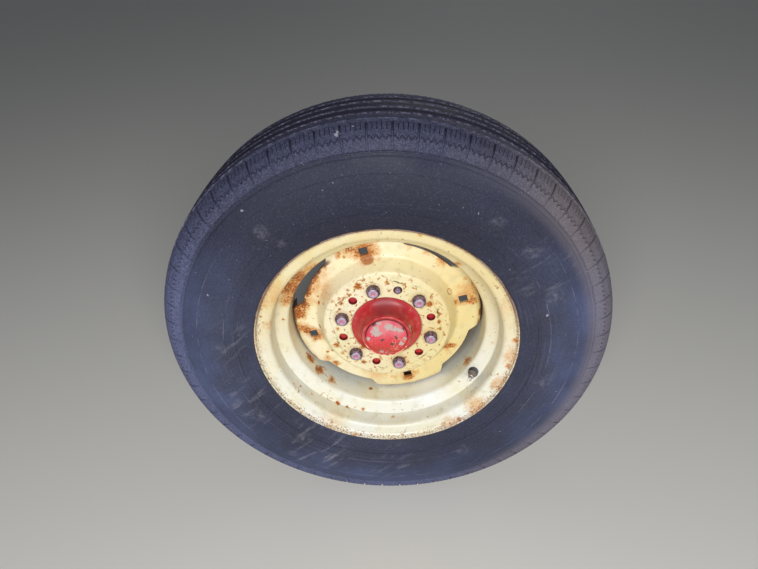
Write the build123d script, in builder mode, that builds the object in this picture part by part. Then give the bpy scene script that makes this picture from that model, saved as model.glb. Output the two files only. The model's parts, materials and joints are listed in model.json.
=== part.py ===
from build123d import *

import os
from math import cos, hypot, radians, sin, tan

# Farm wagon wheel on its stub axle. The wheel turns about Y and its outer face looks toward -Y.
# The origin is the centre of the shank's cross-bolt hole, where the wagon's axle holds it.
# A depth is measured along +Y from the outer face of the wheel disc's mounting pad, and a
# radius from the wheel's axis. Angles run from +X toward +Z, as seen from the outer face.

# Spindle
shank_radius = 25.4
shank_length = 140.0
shank_hole_radius = 6.75
shank_hole_from_end = 35.0
shoulder_radius = 32.0
shoulder_length = 8.0
seal_journal_radius = 22.25
seal_journal_length = 24.0
inner_journal_radius = 19.05
inner_journal_length = 24.0
outer_journal_radius = 14.3
outer_journal_length = 20.0
thread_radius = 11.1
thread_length = 14.0
cotter_radius = 2.0
cotter_from_tip = 6.0
tip_gap = 2.0
spindle_edge = 1.0

# Hub casting
hub_back_depth = 92.0
hub_back_gap = 2.0
flange_radius = 91.0
flange_thickness = 14.0
flange_edge = 2.5
boss_radius = 12.5
boss_height = 5.0
barrel_radius = 47.0
barrel_fillet = 11.0
nose_depth = -26.0
nose_radius = 39.5
nose_wall = 5.0
nose_edge = 1.4
bell_waist_depth = -17.0
bell_waist_radius = 41.5
bell_mid_depth = -5.0
bell_mid_radius = 47.0
pilot_step_depth = 1.0
pilot_fit = 0.15
cap_bore_length = 12.0
nut_room_radius = 30.0
grease_room_radius = 34.0
land_inset = 2.0
running_clearance = 0.06
seal_bore_length = 18.0
seal_bore_step = 1.0
seal_stop_height = 4.0

# Dust cap and grease seal
press_clearance = 0.05
cap_wall = 1.8
cap_stand_out = 3.0
cap_bevel = 3.2
seal_length = 11.0
seal_lip_gap = 0.15
seal_groove_width = 5.0
seal_groove_depth = 3.0

# Wheel disc
disc_thickness = 5.0
centre_hole_radius = 58.5
pad_radius = 105.0
pad_fillet = 6.0
emboss_height = 2.5
emboss_apothem = 88.5
emboss_corner = 26.0
emboss_taper = 40.0
dish_depth = 30.0
dish_foot_radius = 120.0
dish_foot_fillet = 7.0
lobe_fillet = 14.0
lobe_flange_depth = 64.0
lobe_count = 4
lobe_angle = 15.0
flat_share = 0.55
flat_half_angle = 17.5
flat_corner = 10.0
flat_flare = 50.0
square_hole_size = 14.5
square_hole_share = 0.31
square_hole_corner = 1.0
bolt_count = 6
bolt_circle_radius = 76.2
lug_angle = 45.0
small_hole_angle = 15.0
small_hole_radius = 7.0

# Lug bolts and the one small bolt
lug_hole_radius = 7.25
lug_shank_radius = 6.35
lug_shank_length = 30.0
lug_seat_radius = 11.0
lug_head_width = 20.6
lug_head_height = 11.0
lug_face_radius = 7.2
lug_dimple_radius = 3.6
lug_dimple_depth = 0.8
lug_chamfer_angle = 42.0
lug_seat_angle = 90.0
lug_fit = 0.15
small_bolt_radius = 5.5
small_bolt_length = 26.0
small_bolt_stand_out = 3.0
small_bolt_angle = small_hole_angle + 60.0

# Rim, given by its tyre side
rim_width = 152.4
rim_mid_depth = 36.0
rim_thickness = 3.0
rim_fit = 0.2
bead_seat_radius = 190.1
flange_height = 22.4
lip_curl = 9.5
lip_run = 2.5
bead_seat_angle = 4.5
front_seat_width = 29.2
rear_seat_width = 24.0
well_drop = 23.4
front_slope_length = 9.0
rear_slope_length = 8.0
rim_corner = 5.0
well_corner = 3.5

# Valve
valve_angle = 328.5
valve_slope_share = 0.59
valve_hole_radius = 5.8
valve_neck_gap = 0.1
valve_seat_gap = 0.15
valve_button_radius = 7.0
valve_button_height = 3.0
valve_bulge_radius = 8.8
valve_bulge_height = 8.0
valve_stem_radius = 4.9
valve_rubber_height = 21.0
valve_end_radius = 3.85
valve_end_length = 11.0
valve_end_sunk = 4.0
valve_end_root_radius = 3.0

# Tyre, given as half a section from the rim's mid plane
tyre_radius = 362.5
tread_half_width = 58.0
tread_drop = 2.0
shoulder_line_drop = 36.5
shoulder_line_half_width = 88.5
shoulder_bow = 8.1
section_half_width = 101.0
section_share = 0.443
tyre_lip_gap = 0.3
bead_width = 16.2
bead_height = 23.9
bead_flare = 2.8
wall_thickness = 8.0
crown_thickness = 15.0
crown_taper = 2.0
groove_depth = 6.0
groove_width = 7.0
groove_places = (-38.0, -13.0, 13.0, 38.0)
shoulder_groove_gap = 3.0

os.makedirs("parts", exist_ok=True)

shank_end_y = shank_hole_from_end
shank_front_y = shank_end_y - shank_length
shoulder_y = shank_front_y - shoulder_length
face_y = shoulder_y - hub_back_gap - hub_back_depth


def facing(depth):
    """A plane square to the axis at a depth, looking outward, with angles from +X toward +Z."""
    return Plane.XZ.offset(-(face_y + depth))


def around(radius, angle, depth):
    """A point at a radius, angle and depth."""
    return (radius * cos(radians(angle)), face_y + depth, radius * sin(radians(angle)))


def finish(part, name):
    """Label a finished piece and write its file."""
    part.label = name
    export_step(part, f"parts/{name}.step")


# Spindle: a lathe profile from the shank's inner end out to the threaded tip
seal_end_y = shoulder_y - seal_journal_length
inner_end_y = seal_end_y - inner_journal_length
tip_y = face_y + nose_depth + cap_wall + tip_gap
thread_start_y = tip_y + thread_length
outer_start_y = thread_start_y + outer_journal_length

with BuildPart() as spindle:
    with BuildSketch(Plane.XY):
        with BuildLine():
            Polyline(
                (0, shank_end_y),
                (shank_radius, shank_end_y),
                (shank_radius, shank_front_y),
                (shoulder_radius, shank_front_y),
                (shoulder_radius, shoulder_y),
                (seal_journal_radius, shoulder_y),
                (seal_journal_radius, seal_end_y),
                (inner_journal_radius, seal_end_y),
                (inner_journal_radius, inner_end_y),
                (outer_journal_radius, outer_start_y),
                (outer_journal_radius, thread_start_y),
                (thread_radius, thread_start_y),
                (thread_radius, tip_y),
                (0, tip_y),
                close=True,
            )
        make_face()
    revolve(axis=Axis.Y)
    end_edges = spindle.edges().filter_by(GeomType.CIRCLE).sort_by(Axis.Y)
    chamfer([end_edges[0], end_edges[-1]], spindle_edge)
    with Locations((0, 0)):
        Hole(radius=shank_hole_radius)
    with Locations((0, tip_y + cotter_from_tip)):
        Hole(radius=cotter_radius)
finish(spindle.part, "spindle")

# Hub: bell-shaped nose, bolting flange with bosses, and a barrel that runs back to the seal
outer_land_radius = outer_journal_radius + running_clearance
inner_land_radius = inner_journal_radius + running_clearance
pad_back_depth = emboss_height + disc_thickness
flange_front_y = face_y + pad_back_depth
flange_back_y = flange_front_y + flange_thickness
hub_back_y = face_y + hub_back_depth
nose_y = face_y + nose_depth
cap_bore_radius = nose_radius - nose_wall
seal_bore_radius = grease_room_radius + seal_bore_step
seal_stop_radius = seal_bore_radius - seal_stop_height
pilot_radius = centre_hole_radius - pilot_fit
outer_land_start_y = thread_start_y + land_inset
outer_land_end_y = outer_start_y - land_inset
inner_land_start_y = inner_end_y + land_inset
inner_land_end_y = seal_end_y - land_inset

with BuildPart() as hub:
    with BuildSketch(Plane.XY):
        with BuildLine():
            Polyline(
                (nose_radius, nose_y),
                (cap_bore_radius, nose_y),
                (cap_bore_radius, nose_y + cap_bore_length),
                (nut_room_radius, nose_y + cap_bore_length),
                (nut_room_radius, outer_land_start_y),
                (outer_land_radius, outer_land_start_y),
                (outer_land_radius, outer_land_end_y),
                (grease_room_radius, outer_land_end_y),
                (grease_room_radius, inner_land_start_y),
                (inner_land_radius, inner_land_start_y),
                (inner_land_radius, inner_land_end_y),
                (seal_stop_radius, inner_land_end_y),
                (seal_stop_radius, hub_back_y - seal_bore_length),
                (seal_bore_radius, hub_back_y - seal_bore_length),
                (seal_bore_radius, hub_back_y),
                (barrel_radius, hub_back_y),
                (barrel_radius, flange_back_y),
                (flange_radius, flange_back_y),
                (flange_radius, flange_front_y),
                (pilot_radius, flange_front_y),
                (pilot_radius, face_y + pilot_step_depth),
            )
            ThreePointArc(
                (pilot_radius, face_y + pilot_step_depth),
                (bell_mid_radius, face_y + bell_mid_depth),
                (bell_waist_radius, face_y + bell_waist_depth),
            )
            Line((bell_waist_radius, face_y + bell_waist_depth), (nose_radius, nose_y))
        make_face()
    revolve(axis=Axis.Y)
    rings = hub.edges().filter_by(GeomType.CIRCLE)
    fillet(rings.filter_by(lambda e: abs(e.radius - flange_radius) < 0.01), flange_edge)
    rings = hub.edges().filter_by(GeomType.CIRCLE)
    barrel_rings = rings.filter_by(lambda e: abs(e.radius - barrel_radius) < 0.01).sort_by(Axis.Y)
    fillet(barrel_rings[0], barrel_fillet)
    fillet(hub.edges().filter_by(GeomType.CIRCLE).sort_by(Axis.Y)[0:2], nose_edge)
    with BuildSketch(facing(pad_back_depth + flange_thickness)):
        with PolarLocations(bolt_circle_radius, bolt_count, start_angle=lug_angle):
            Circle(boss_radius)
    extrude(amount=-boss_height)
    with Locations(facing(pad_back_depth)):
        with PolarLocations(bolt_circle_radius, bolt_count, start_angle=lug_angle):
            Hole(radius=lug_shank_radius + lug_fit, depth=flange_thickness + boss_height)
    with Locations(facing(pad_back_depth)):
        with PolarLocations(bolt_circle_radius, 1, start_angle=small_bolt_angle):
            Hole(radius=small_bolt_radius + lug_fit, depth=flange_thickness)
finish(hub.part, "hub")

# Dust cap: a pressed cup in the nose's bore, with a bevelled face that stands out of it
cap_radius = cap_bore_radius - press_clearance
cap_back_y = nose_y + cap_bore_length
cap_face_y = nose_y - cap_stand_out

with BuildPart() as dust_cap:
    with BuildSketch(Plane.XY):
        with BuildLine():
            Polyline(
                (0, cap_face_y),
                (cap_radius - cap_bevel, cap_face_y),
                (cap_radius, cap_face_y + cap_bevel),
                (cap_radius, cap_back_y),
                (cap_radius - cap_wall, cap_back_y),
                (cap_radius - cap_wall, cap_face_y + cap_bevel + cap_wall),
                (cap_radius - cap_bevel, cap_face_y + cap_wall),
                (0, cap_face_y + cap_wall),
                close=True,
            )
        make_face()
    revolve(axis=Axis.Y)
finish(dust_cap.part, "dust_cap")

# Grease seal: a ring pressed into the barrel's back end, grooved on the side that shows
seal_outer_radius = seal_bore_radius - press_clearance
seal_inner_radius = seal_journal_radius + seal_lip_gap
seal_mid_radius = (seal_outer_radius + seal_inner_radius) / 2

with BuildPart() as grease_seal:
    with BuildSketch(facing(hub_back_depth)):
        Circle(seal_outer_radius)
        Circle(seal_inner_radius, mode=Mode.SUBTRACT)
    extrude(amount=seal_length)
    with BuildSketch(facing(hub_back_depth)):
        Circle(seal_mid_radius + seal_groove_width / 2)
        Circle(seal_mid_radius - seal_groove_width / 2, mode=Mode.SUBTRACT)
    extrude(amount=seal_groove_depth, mode=Mode.SUBTRACT)
finish(grease_seal.part, "grease_seal")

# Rim: one pressed section, led along its tyre side from the outer lip to the inner lip
lip_radius = bead_seat_radius + flange_height
well_radius = bead_seat_radius - well_drop
outer_wall_depth = rim_mid_depth - rim_width / 2
inner_wall_depth = rim_mid_depth + rim_width / 2
lip_reach = lip_curl + lip_run
seat_slope = tan(radians(bead_seat_angle))
front_seat_edge = bead_seat_radius - front_seat_width * seat_slope
rear_seat_edge = bead_seat_radius - rear_seat_width * seat_slope
slope_top_depth = outer_wall_depth + front_seat_width
slope_foot_depth = slope_top_depth + front_slope_length
rear_slope_top_depth = inner_wall_depth - rear_seat_width
rear_slope_foot_depth = rear_slope_top_depth - rear_slope_length
rim_path = [
    (lip_radius, outer_wall_depth - lip_reach),
    (lip_radius, outer_wall_depth),
    (bead_seat_radius, outer_wall_depth),
    (front_seat_edge, slope_top_depth),
    (well_radius, slope_foot_depth),
    (well_radius, rear_slope_foot_depth),
    (rear_seat_edge, rear_slope_top_depth),
    (bead_seat_radius, inner_wall_depth),
    (lip_radius, inner_wall_depth),
    (lip_radius, inner_wall_depth + lip_reach),
]
rim_radii = [lip_curl, rim_corner, rim_corner, well_corner, rim_corner, rim_corner, rim_corner, lip_curl]

# The valve stands square on the outer slope of the drop well
slope_fall = well_radius - front_seat_edge
slope_size = hypot(slope_fall, front_slope_length)
valve_lean = (-front_slope_length / slope_size, slope_fall / slope_size)
valve_radius = front_seat_edge + slope_fall * valve_slope_share + valve_lean[0] * rim_thickness
valve_depth = slope_top_depth + front_slope_length * valve_slope_share + valve_lean[1] * rim_thickness
valve_way = (cos(radians(valve_angle)), sin(radians(valve_angle)))
valve_plane = Plane(
    origin=around(valve_radius, valve_angle, valve_depth),
    x_dir=(-valve_way[1], 0, valve_way[0]),
    z_dir=(valve_lean[0] * valve_way[0], valve_lean[1], valve_lean[0] * valve_way[1]),
)

with BuildPart() as wheel_rim:
    with BuildSketch(Plane.XY):
        with BuildLine():
            FilletPolyline([(r, face_y + d) for r, d in rim_path], radius=rim_radii)
            offset(amount=rim_thickness, side=Side.LEFT)
        make_face()
    revolve(axis=Axis.Y)
    with BuildSketch(valve_plane.offset(rim_thickness)):
        Circle(valve_hole_radius)
    extrude(amount=-3 * rim_thickness, mode=Mode.SUBTRACT)
finish(wheel_rim.part, "wheel_rim")

# Wheel disc: a pressed dish whose four lobes meet the rim, with a hexagonal embossed pad
disc_outer_radius = well_radius - rim_thickness - rim_fit
lobe_reach = disc_outer_radius - dish_foot_radius
flat_radius = dish_foot_radius + lobe_reach * flat_share
square_hole_radius = dish_foot_radius + lobe_reach * square_hole_share
disc_path = [
    (centre_hole_radius, emboss_height),
    (pad_radius, emboss_height),
    (dish_foot_radius, dish_depth),
    (disc_outer_radius, dish_depth),
    (disc_outer_radius, lobe_flange_depth),
]
disc_radii = [pad_fillet, dish_foot_fillet, lobe_fillet]

with BuildPart() as wheel_disc:
    with BuildSketch(Plane.XY):
        with BuildLine():
            FilletPolyline([(r, face_y + d) for r, d in disc_path], radius=disc_radii)
            offset(amount=disc_thickness, side=Side.LEFT)
        make_face()
    revolve(axis=Axis.Y)
    with BuildSketch(facing(emboss_height)) as emboss:
        RegularPolygon(emboss_apothem, bolt_count, major_radius=False, rotation=lug_angle)
        fillet(emboss.vertices(), emboss_corner)
        Circle(centre_hole_radius, mode=Mode.SUBTRACT)
    extrude(amount=emboss_height, taper=emboss_taper)
    with BuildSketch(facing(lobe_flange_depth + disc_thickness)) as flats:
        for lobe in range(lobe_count):
            middle = lobe_angle + (lobe + 0.5) * 360.0 / lobe_count
            with BuildLine():
                start = PolarLine((0, 0), flat_radius, angle=middle - flat_half_angle, mode=Mode.PRIVATE) @ 1
                arc = CenterArc((0, 0), flat_radius, middle - flat_half_angle, 2 * flat_half_angle)
                reach = 3 * (well_radius - flat_radius)
                one = PolarLine(arc @ 1, reach, angle=middle + flat_half_angle + flat_flare)
                two = PolarLine(start, reach, angle=middle - flat_half_angle - flat_flare)
                far = PolarLine((0, 0), 2 * well_radius, angle=middle, mode=Mode.PRIVATE) @ 1
                Polyline(one @ 1, far, two @ 1)
            make_face()
        corners = flats.vertices().filter_by(lambda v: abs(hypot(v.X, v.Y) - flat_radius) < 0.01)
        fillet(corners, flat_corner)
    extrude(amount=lobe_flange_depth + 2 * disc_thickness, mode=Mode.SUBTRACT)
    with BuildSketch(facing(dish_depth + disc_thickness)):
        with PolarLocations(square_hole_radius, lobe_count, start_angle=lobe_angle):
            RectangleRounded(square_hole_size, square_hole_size, square_hole_corner)
    extrude(amount=2 * disc_thickness, mode=Mode.SUBTRACT)
    with Locations(facing(0)):
        with PolarLocations(bolt_circle_radius, bolt_count, start_angle=lug_angle):
            CounterSinkHole(
                radius=lug_hole_radius,
                counter_sink_radius=lug_seat_radius,
                counter_sink_angle=lug_seat_angle,
                depth=2 * pad_back_depth,
            )
    with Locations(facing(0)):
        with PolarLocations(bolt_circle_radius, bolt_count, start_angle=small_hole_angle):
            Hole(radius=small_hole_radius, depth=2 * pad_back_depth)
finish(wheel_disc.part, "wheel_disc")

# Lug bolts: hexagon heads with a cone seat, in countersunk holes
lug_cone_end_radius = lug_hole_radius - lug_fit
lug_cone_height = (lug_seat_radius - lug_hole_radius) / tan(radians(lug_seat_angle / 2))
lug_chamfer_base = lug_face_radius + lug_head_height / tan(radians(lug_chamfer_angle))


def lug_bolt(angle):
    """One lug bolt at an angle on the bolt circle."""
    seat = Plane(origin=around(bolt_circle_radius, angle, 0), x_dir=(1, 0, 0), z_dir=(0, -1, 0))
    with BuildPart() as bolt:
        with BuildSketch(seat):
            RegularPolygon(lug_head_width / 2, 6, major_radius=False, rotation=angle)
        extrude(amount=lug_head_height)
        with Locations(seat.offset(lug_head_height / 2)):
            Cone(lug_chamfer_base, lug_face_radius, lug_head_height, mode=Mode.INTERSECT)
        with Locations(seat.offset(-lug_cone_height / 2)):
            Cone(lug_cone_end_radius, lug_seat_radius - lug_fit, lug_cone_height)
        with BuildSketch(seat):
            Circle(lug_shank_radius)
        extrude(amount=-lug_shank_length)
        with BuildSketch(seat.offset(lug_head_height)):
            Circle(lug_dimple_radius)
        extrude(amount=-lug_dimple_depth, mode=Mode.SUBTRACT)
    return bolt.part


for lug in range(bolt_count):
    finish(lug_bolt(lug_angle + lug * 360.0 / bolt_count), f"lug_bolt_{lug + 1}")

# Small bolt, its end showing in one of the six small holes
with BuildPart() as small_bolt:
    with BuildSketch(facing(-small_bolt_stand_out)):
        with PolarLocations(bolt_circle_radius, 1, start_angle=small_bolt_angle):
            Circle(small_bolt_radius)
    extrude(amount=-small_bolt_length)
finish(small_bolt.part, "small_bolt")

# Valve: rubber body held by its neck, and the metal end that sits in it
with BuildPart() as valve_stem:
    with BuildSketch(valve_plane.offset(-rim_thickness - valve_seat_gap)):
        Circle(valve_button_radius)
    extrude(amount=-valve_button_height)
    with BuildSketch(valve_plane.offset(-rim_thickness - valve_seat_gap)):
        Circle(valve_hole_radius - valve_neck_gap)
    extrude(amount=rim_thickness + valve_bulge_height)
    bulge_thickness = valve_bulge_height - valve_seat_gap
    with Locations(valve_plane.offset(valve_bulge_height - bulge_thickness / 2)):
        Cylinder(valve_bulge_radius, bulge_thickness)
    taper_height = valve_rubber_height - valve_bulge_height
    with Locations(valve_plane.offset(valve_bulge_height + taper_height / 2)):
        Cone(valve_bulge_radius, valve_stem_radius, taper_height)
    with BuildSketch(valve_plane.offset(valve_rubber_height)):
        Circle(valve_end_root_radius)
    extrude(amount=-valve_end_sunk, mode=Mode.SUBTRACT)
finish(valve_stem.part, "valve_stem")

with BuildPart() as valve_end:
    with BuildSketch(valve_plane.offset(valve_rubber_height)):
        Circle(valve_end_radius)
    extrude(amount=valve_end_length)
    with BuildSketch(valve_plane.offset(valve_rubber_height)):
        Circle(valve_end_root_radius)
    extrude(amount=-valve_end_sunk)
finish(valve_end.part, "valve_end")

# Tyre: a hollow carcass whose beads sit on the rim, with four main and two shoulder grooves
tyre_lip_radius = lip_curl + tyre_lip_gap
curl_centre = (lip_radius - lip_curl, rim_width / 2 + lip_curl)
curl_end_radius = lip_radius + tyre_lip_gap
tread_edge_radius = tyre_radius - tread_drop
shoulder_line_radius = tyre_radius - shoulder_line_drop
section_radius = lip_radius + (tyre_radius - lip_radius) * section_share
shoulder_groove_place = tread_half_width + shoulder_groove_gap
heel_radius = bead_seat_radius + rim_fit
toe_radius = heel_radius - bead_width * seat_slope


def tyre_side(sign):
    """The outside, bead and inside of one half of the section; sign is -1 for the outer half."""

    def place(radius, half_width):
        return (radius, face_y + rim_mid_depth + sign * half_width)

    tread_edge = place(tread_edge_radius, tread_half_width)
    shoulder_end = place(shoulder_line_radius, shoulder_line_half_width)
    shoulder_mid = place(
        (tread_edge_radius + shoulder_line_radius) / 2 + shoulder_bow * sin(radians(45)),
        (tread_half_width + shoulder_line_half_width) / 2 + shoulder_bow * cos(radians(45)),
    )
    curl_outer = place(curl_end_radius, curl_centre[1] + lip_run)
    curl_start = place(curl_end_radius, curl_centre[1])
    curl_mid = place(
        curl_centre[0] + tyre_lip_radius * sin(radians(45)),
        curl_centre[1] - tyre_lip_radius * cos(radians(45)),
    )
    curl_foot = place(curl_centre[0], rim_width / 2 - tyre_lip_gap)
    heel_top = place(heel_radius + rim_corner, rim_width / 2 - tyre_lip_gap)
    heel_foot = place(heel_radius, rim_width / 2 - tyre_lip_gap - rim_corner)
    toe = place(toe_radius, rim_width / 2 - bead_width)
    inner_bead = place(bead_seat_radius + bead_height, rim_width / 2 + bead_flare)
    inner_wall = place(section_radius, section_half_width - wall_thickness)
    inner_shoulder = place(shoulder_line_radius + crown_taper, shoulder_line_half_width - crown_thickness)
    inner_edge = place(tyre_radius - crown_thickness - crown_taper, tread_half_width - crown_thickness)
    ThreePointArc(tread_edge, shoulder_mid, shoulder_end)
    ThreePointArc(shoulder_end, place(section_radius, section_half_width), curl_outer)
    Line(curl_outer, curl_start)
    ThreePointArc(curl_start, curl_mid, curl_foot)
    Polyline(curl_foot, heel_top, heel_foot, toe, inner_bead)
    ThreePointArc(inner_bead, inner_wall, inner_shoulder)
    Line(inner_shoulder, inner_edge)
    return tread_edge, inner_edge


with BuildPart() as tyre:
    with BuildSketch(Plane.XY):
        with BuildLine():
            outer_ends = tyre_side(-1)
            inner_ends = tyre_side(1)
            crown_y = face_y + rim_mid_depth
            ThreePointArc(outer_ends[0], (tyre_radius, crown_y), inner_ends[0])
            Line(outer_ends[1], inner_ends[1])
        make_face()
        for groove in groove_places:
            with Locations((tyre_radius, crown_y + groove)):
                Rectangle(2 * groove_depth, groove_width, mode=Mode.SUBTRACT)
        for groove in (-shoulder_groove_place, shoulder_groove_place):
            with Locations((tread_edge_radius, crown_y + groove)):
                Rectangle(2 * groove_depth, groove_width, mode=Mode.SUBTRACT)
    revolve(axis=Axis.Y)
finish(tyre.part, "tyre")
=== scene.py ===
"""Looks of a worn farm wagon wheel on its hub and stub spindle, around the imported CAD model."""

import json
from bisect import bisect_right
from functools import cached_property
from math import atan2, cos, hypot, pi, radians, sin, tan

import bmesh
import bpy
from bpy.props import FloatProperty, FloatVectorProperty, IntProperty, PointerProperty
from mathutils import Matrix, Vector


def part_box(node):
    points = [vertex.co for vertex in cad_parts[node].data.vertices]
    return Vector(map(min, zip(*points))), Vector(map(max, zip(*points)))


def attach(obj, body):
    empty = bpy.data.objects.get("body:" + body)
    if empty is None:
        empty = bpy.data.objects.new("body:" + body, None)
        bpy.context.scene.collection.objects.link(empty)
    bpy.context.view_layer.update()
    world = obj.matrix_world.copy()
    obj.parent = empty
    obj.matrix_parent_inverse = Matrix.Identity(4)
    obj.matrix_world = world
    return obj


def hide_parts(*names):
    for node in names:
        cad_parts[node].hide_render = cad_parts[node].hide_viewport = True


bl_info = {
    "name": "Wagon Wheel Looks",
    "version": (1, 1, 0),
    "blender": (4, 5, 0),
    "location": "View3D > Sidebar > Wagon Wheel",
    "description": "Makes the tread, bolts, valve, welds, finishes and stage of a farm wagon wheel",
    "category": "Object",
}

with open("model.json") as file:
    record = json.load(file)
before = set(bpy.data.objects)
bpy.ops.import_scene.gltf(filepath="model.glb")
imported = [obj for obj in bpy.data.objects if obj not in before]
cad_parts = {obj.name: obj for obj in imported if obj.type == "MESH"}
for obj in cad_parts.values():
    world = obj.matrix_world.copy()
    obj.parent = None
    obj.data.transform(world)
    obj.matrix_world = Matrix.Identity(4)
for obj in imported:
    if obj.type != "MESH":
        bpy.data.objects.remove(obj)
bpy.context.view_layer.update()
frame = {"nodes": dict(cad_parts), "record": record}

# Lengths below are in millimetres from the wheel's axis (radius) or from the disc's outer
# face (depth, growing inwards); angles run from +X toward +Z as the outer face is seen.
MM = 0.001
FACE_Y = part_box("wheel_disc")[0].y
EASED = {"interpolation_type": "SMOOTHSTEP"}

# Depth of the middle of the rim and tyre
RIM_MIDDLE = 36.0

# Circles of holes in the disc, as radius, first angle and count
LUG_HOLES = (76.2, 45.0, 6)
SMALL_HOLES = (76.2, 15.0, 6)
SQUARE_HOLES = (133.5, 15.0, 4)
SMALL_BOLT_ANGLE = 75.0

# Where the tread's ribs begin and end, from the tyre's middle
RIB_EDGES = (9.5, 16.5, 34.5, 41.5, 56.0)


def colour(text):
    """An sRGB hex value as linear colour."""
    parts = [int(text[i : i + 2], 16) / 255 for i in (0, 2, 4)]
    return [c / 12.92 if c <= 0.04045 else ((c + 0.055) / 1.055) ** 2.4 for c in parts] + [1.0]


def per(size):
    """The texture scale that gives features of a size in millimetres."""
    return 1 / (size * MM)


def place(radius, angle, depth):
    """A point of the wheel, in metres."""
    turn = radians(angle)
    return Vector((radius * MM * cos(turn), FACE_Y + depth * MM, radius * MM * sin(turn)))


def add(tree, kind, inputs=None, out=0, **settings):
    """Adds a node with its settings, values and links, and gives one output, or the node for None."""
    node = tree.nodes.new(kind if "Node" in kind else "ShaderNode" + kind)
    for name, value in settings.items():
        setattr(node, name, value)
    for key, value in (inputs or {}).items():
        if isinstance(value, bpy.types.NodeSocket):
            tree.links.new(value, node.inputs[key])
        else:
            node.inputs[key].default_value = value
    return node if out is None or not node.outputs else node.outputs[out]


# Making meshes


def mesh_object(name, points, faces):
    """An object with a plain mesh, its points given in metres."""
    mesh = bpy.data.meshes.new(name)
    mesh.from_pydata(points, [], faces)
    piece = bpy.data.objects.new(name, mesh)
    bpy.context.scene.collection.objects.link(piece)
    return piece


def close_up(piece, sharp):
    """Merges doubles, turns faces outwards and shades smooth up to a sharp angle in degrees."""
    work = bmesh.new()
    work.from_mesh(piece.data)
    bmesh.ops.remove_doubles(work, verts=work.verts, dist=0.002 * MM)
    bmesh.ops.recalc_face_normals(work, faces=work.faces)
    work.to_mesh(piece.data)
    work.free()
    piece.data.shade_smooth()
    piece.data.set_sharp_from_angle(angle=radians(sharp))
    return piece


def skinned(name, rings, sharp):
    """A closed skin over rings of equally many points, with both ends filled."""
    steps = len(rings[0])
    points = [point for ring in rings for point in ring]
    faces = []
    for row in range(len(rings) - 1):
        for step in range(steps):
            one, two = row * steps + step, row * steps + (step + 1) % steps
            faces.append((one, two, two + steps, one + steps))
    faces.append(tuple(range(steps)))
    faces.append(tuple(range(len(points) - steps, len(points))))
    return close_up(mesh_object(name, points, faces), sharp)


def lathe_rings(profile, steps, middle, axis):
    """Rings of a lathe shape: pairs of (radius, height) in millimetres about a line."""
    axis = axis.normalized()
    across = axis.orthogonal().normalized()
    side = axis.cross(across)
    turns = [2 * pi * step / steps for step in range(steps)]
    ways = [across * cos(turn) + side * sin(turn) for turn in turns]
    return [[middle + (way * size + axis * height) * MM for way in ways] for size, height in profile]


def threads(radius, root, start, end, pitch):
    """Profile pairs of a screw thread drawn as rings."""
    count = int(abs(end - start) / pitch)
    step = (end - start) / count
    pairs = [((root, start + step * i), (radius, start + step * (i + 0.5))) for i in range(count)]
    return [pair for both in pairs for pair in both] + [(root, end)]


def ring_tree(name, material):
    """A Geometry Nodes tree that repeats a piece evenly about the wheel's axis."""
    tree = bpy.data.node_groups.new(name, "GeometryNodeTree")
    for label, kind in (("Geometry", "Geometry"), ("Count", "Int"), ("Merge Distance", "Float")):
        tree.interface.new_socket(label, in_out="INPUT", socket_type="NodeSocket" + kind)
    tree.interface.new_socket("Geometry", in_out="OUTPUT", socket_type="NodeSocketGeometry")
    given = add(tree, "NodeGroupInput", out=None).outputs
    points = add(tree, "GeometryNodeMeshLine", {"Count": given["Count"], "Offset": (0, 0, 0)})
    number = add(tree, "GeometryNodeInputIndex")
    share = add(tree, "Math", {0: 2 * pi, 1: given["Count"]}, operation="DIVIDE")
    turn = add(tree, "Math", {0: number, 1: share}, operation="MULTIPLY")
    about = add(tree, "CombineXYZ", {"Y": turn})
    source = {"Points": points, "Instance": given["Geometry"], "Rotation": about}
    copies = add(tree, "GeometryNodeInstanceOnPoints", source)
    real = add(tree, "GeometryNodeRealizeInstances", {0: copies})
    closed = {"Geometry": real, "Distance": given["Merge Distance"]}
    merged = add(tree, "GeometryNodeMergeByDistance", closed)
    finished = add(tree, "GeometryNodeSetMaterial", {"Geometry": merged, "Material": material})
    add(tree, "NodeGroupOutput", {0: finished})
    return tree


def repeat_about_axis(piece, count, material):
    """Repeats one piece about the axis and leaves the result as its plain mesh."""
    merge = 0.005
    tree = ring_tree(piece.name + "_ring", material)
    modifier = piece.modifiers.new("ring", "NODES")
    modifier.node_group = tree
    sockets = {s.name: s.identifier for s in tree.interface.items_tree if s.in_out == "INPUT"}
    modifier[sockets["Count"]] = count
    modifier[sockets["Merge Distance"]] = merge * MM
    graph = bpy.context.evaluated_depsgraph_get()
    finished = bpy.data.meshes.new_from_object(piece.evaluated_get(graph))
    piece.modifiers.clear()
    piece.data = finished
    return piece


def dress(piece, material, slot, *nodes):
    """Gives a piece its finish, has it ride on the wheel and stand for CAD nodes."""
    if not piece.data.materials:
        piece.data.materials.append(material)
    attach(piece, "wheel")
    if nodes:
        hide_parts(*nodes)
    return piece


def paint_node(node, material):
    """Gives a CAD node a finish."""
    for slot in frame["nodes"][node].material_slots:
        slot.material = material


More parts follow.
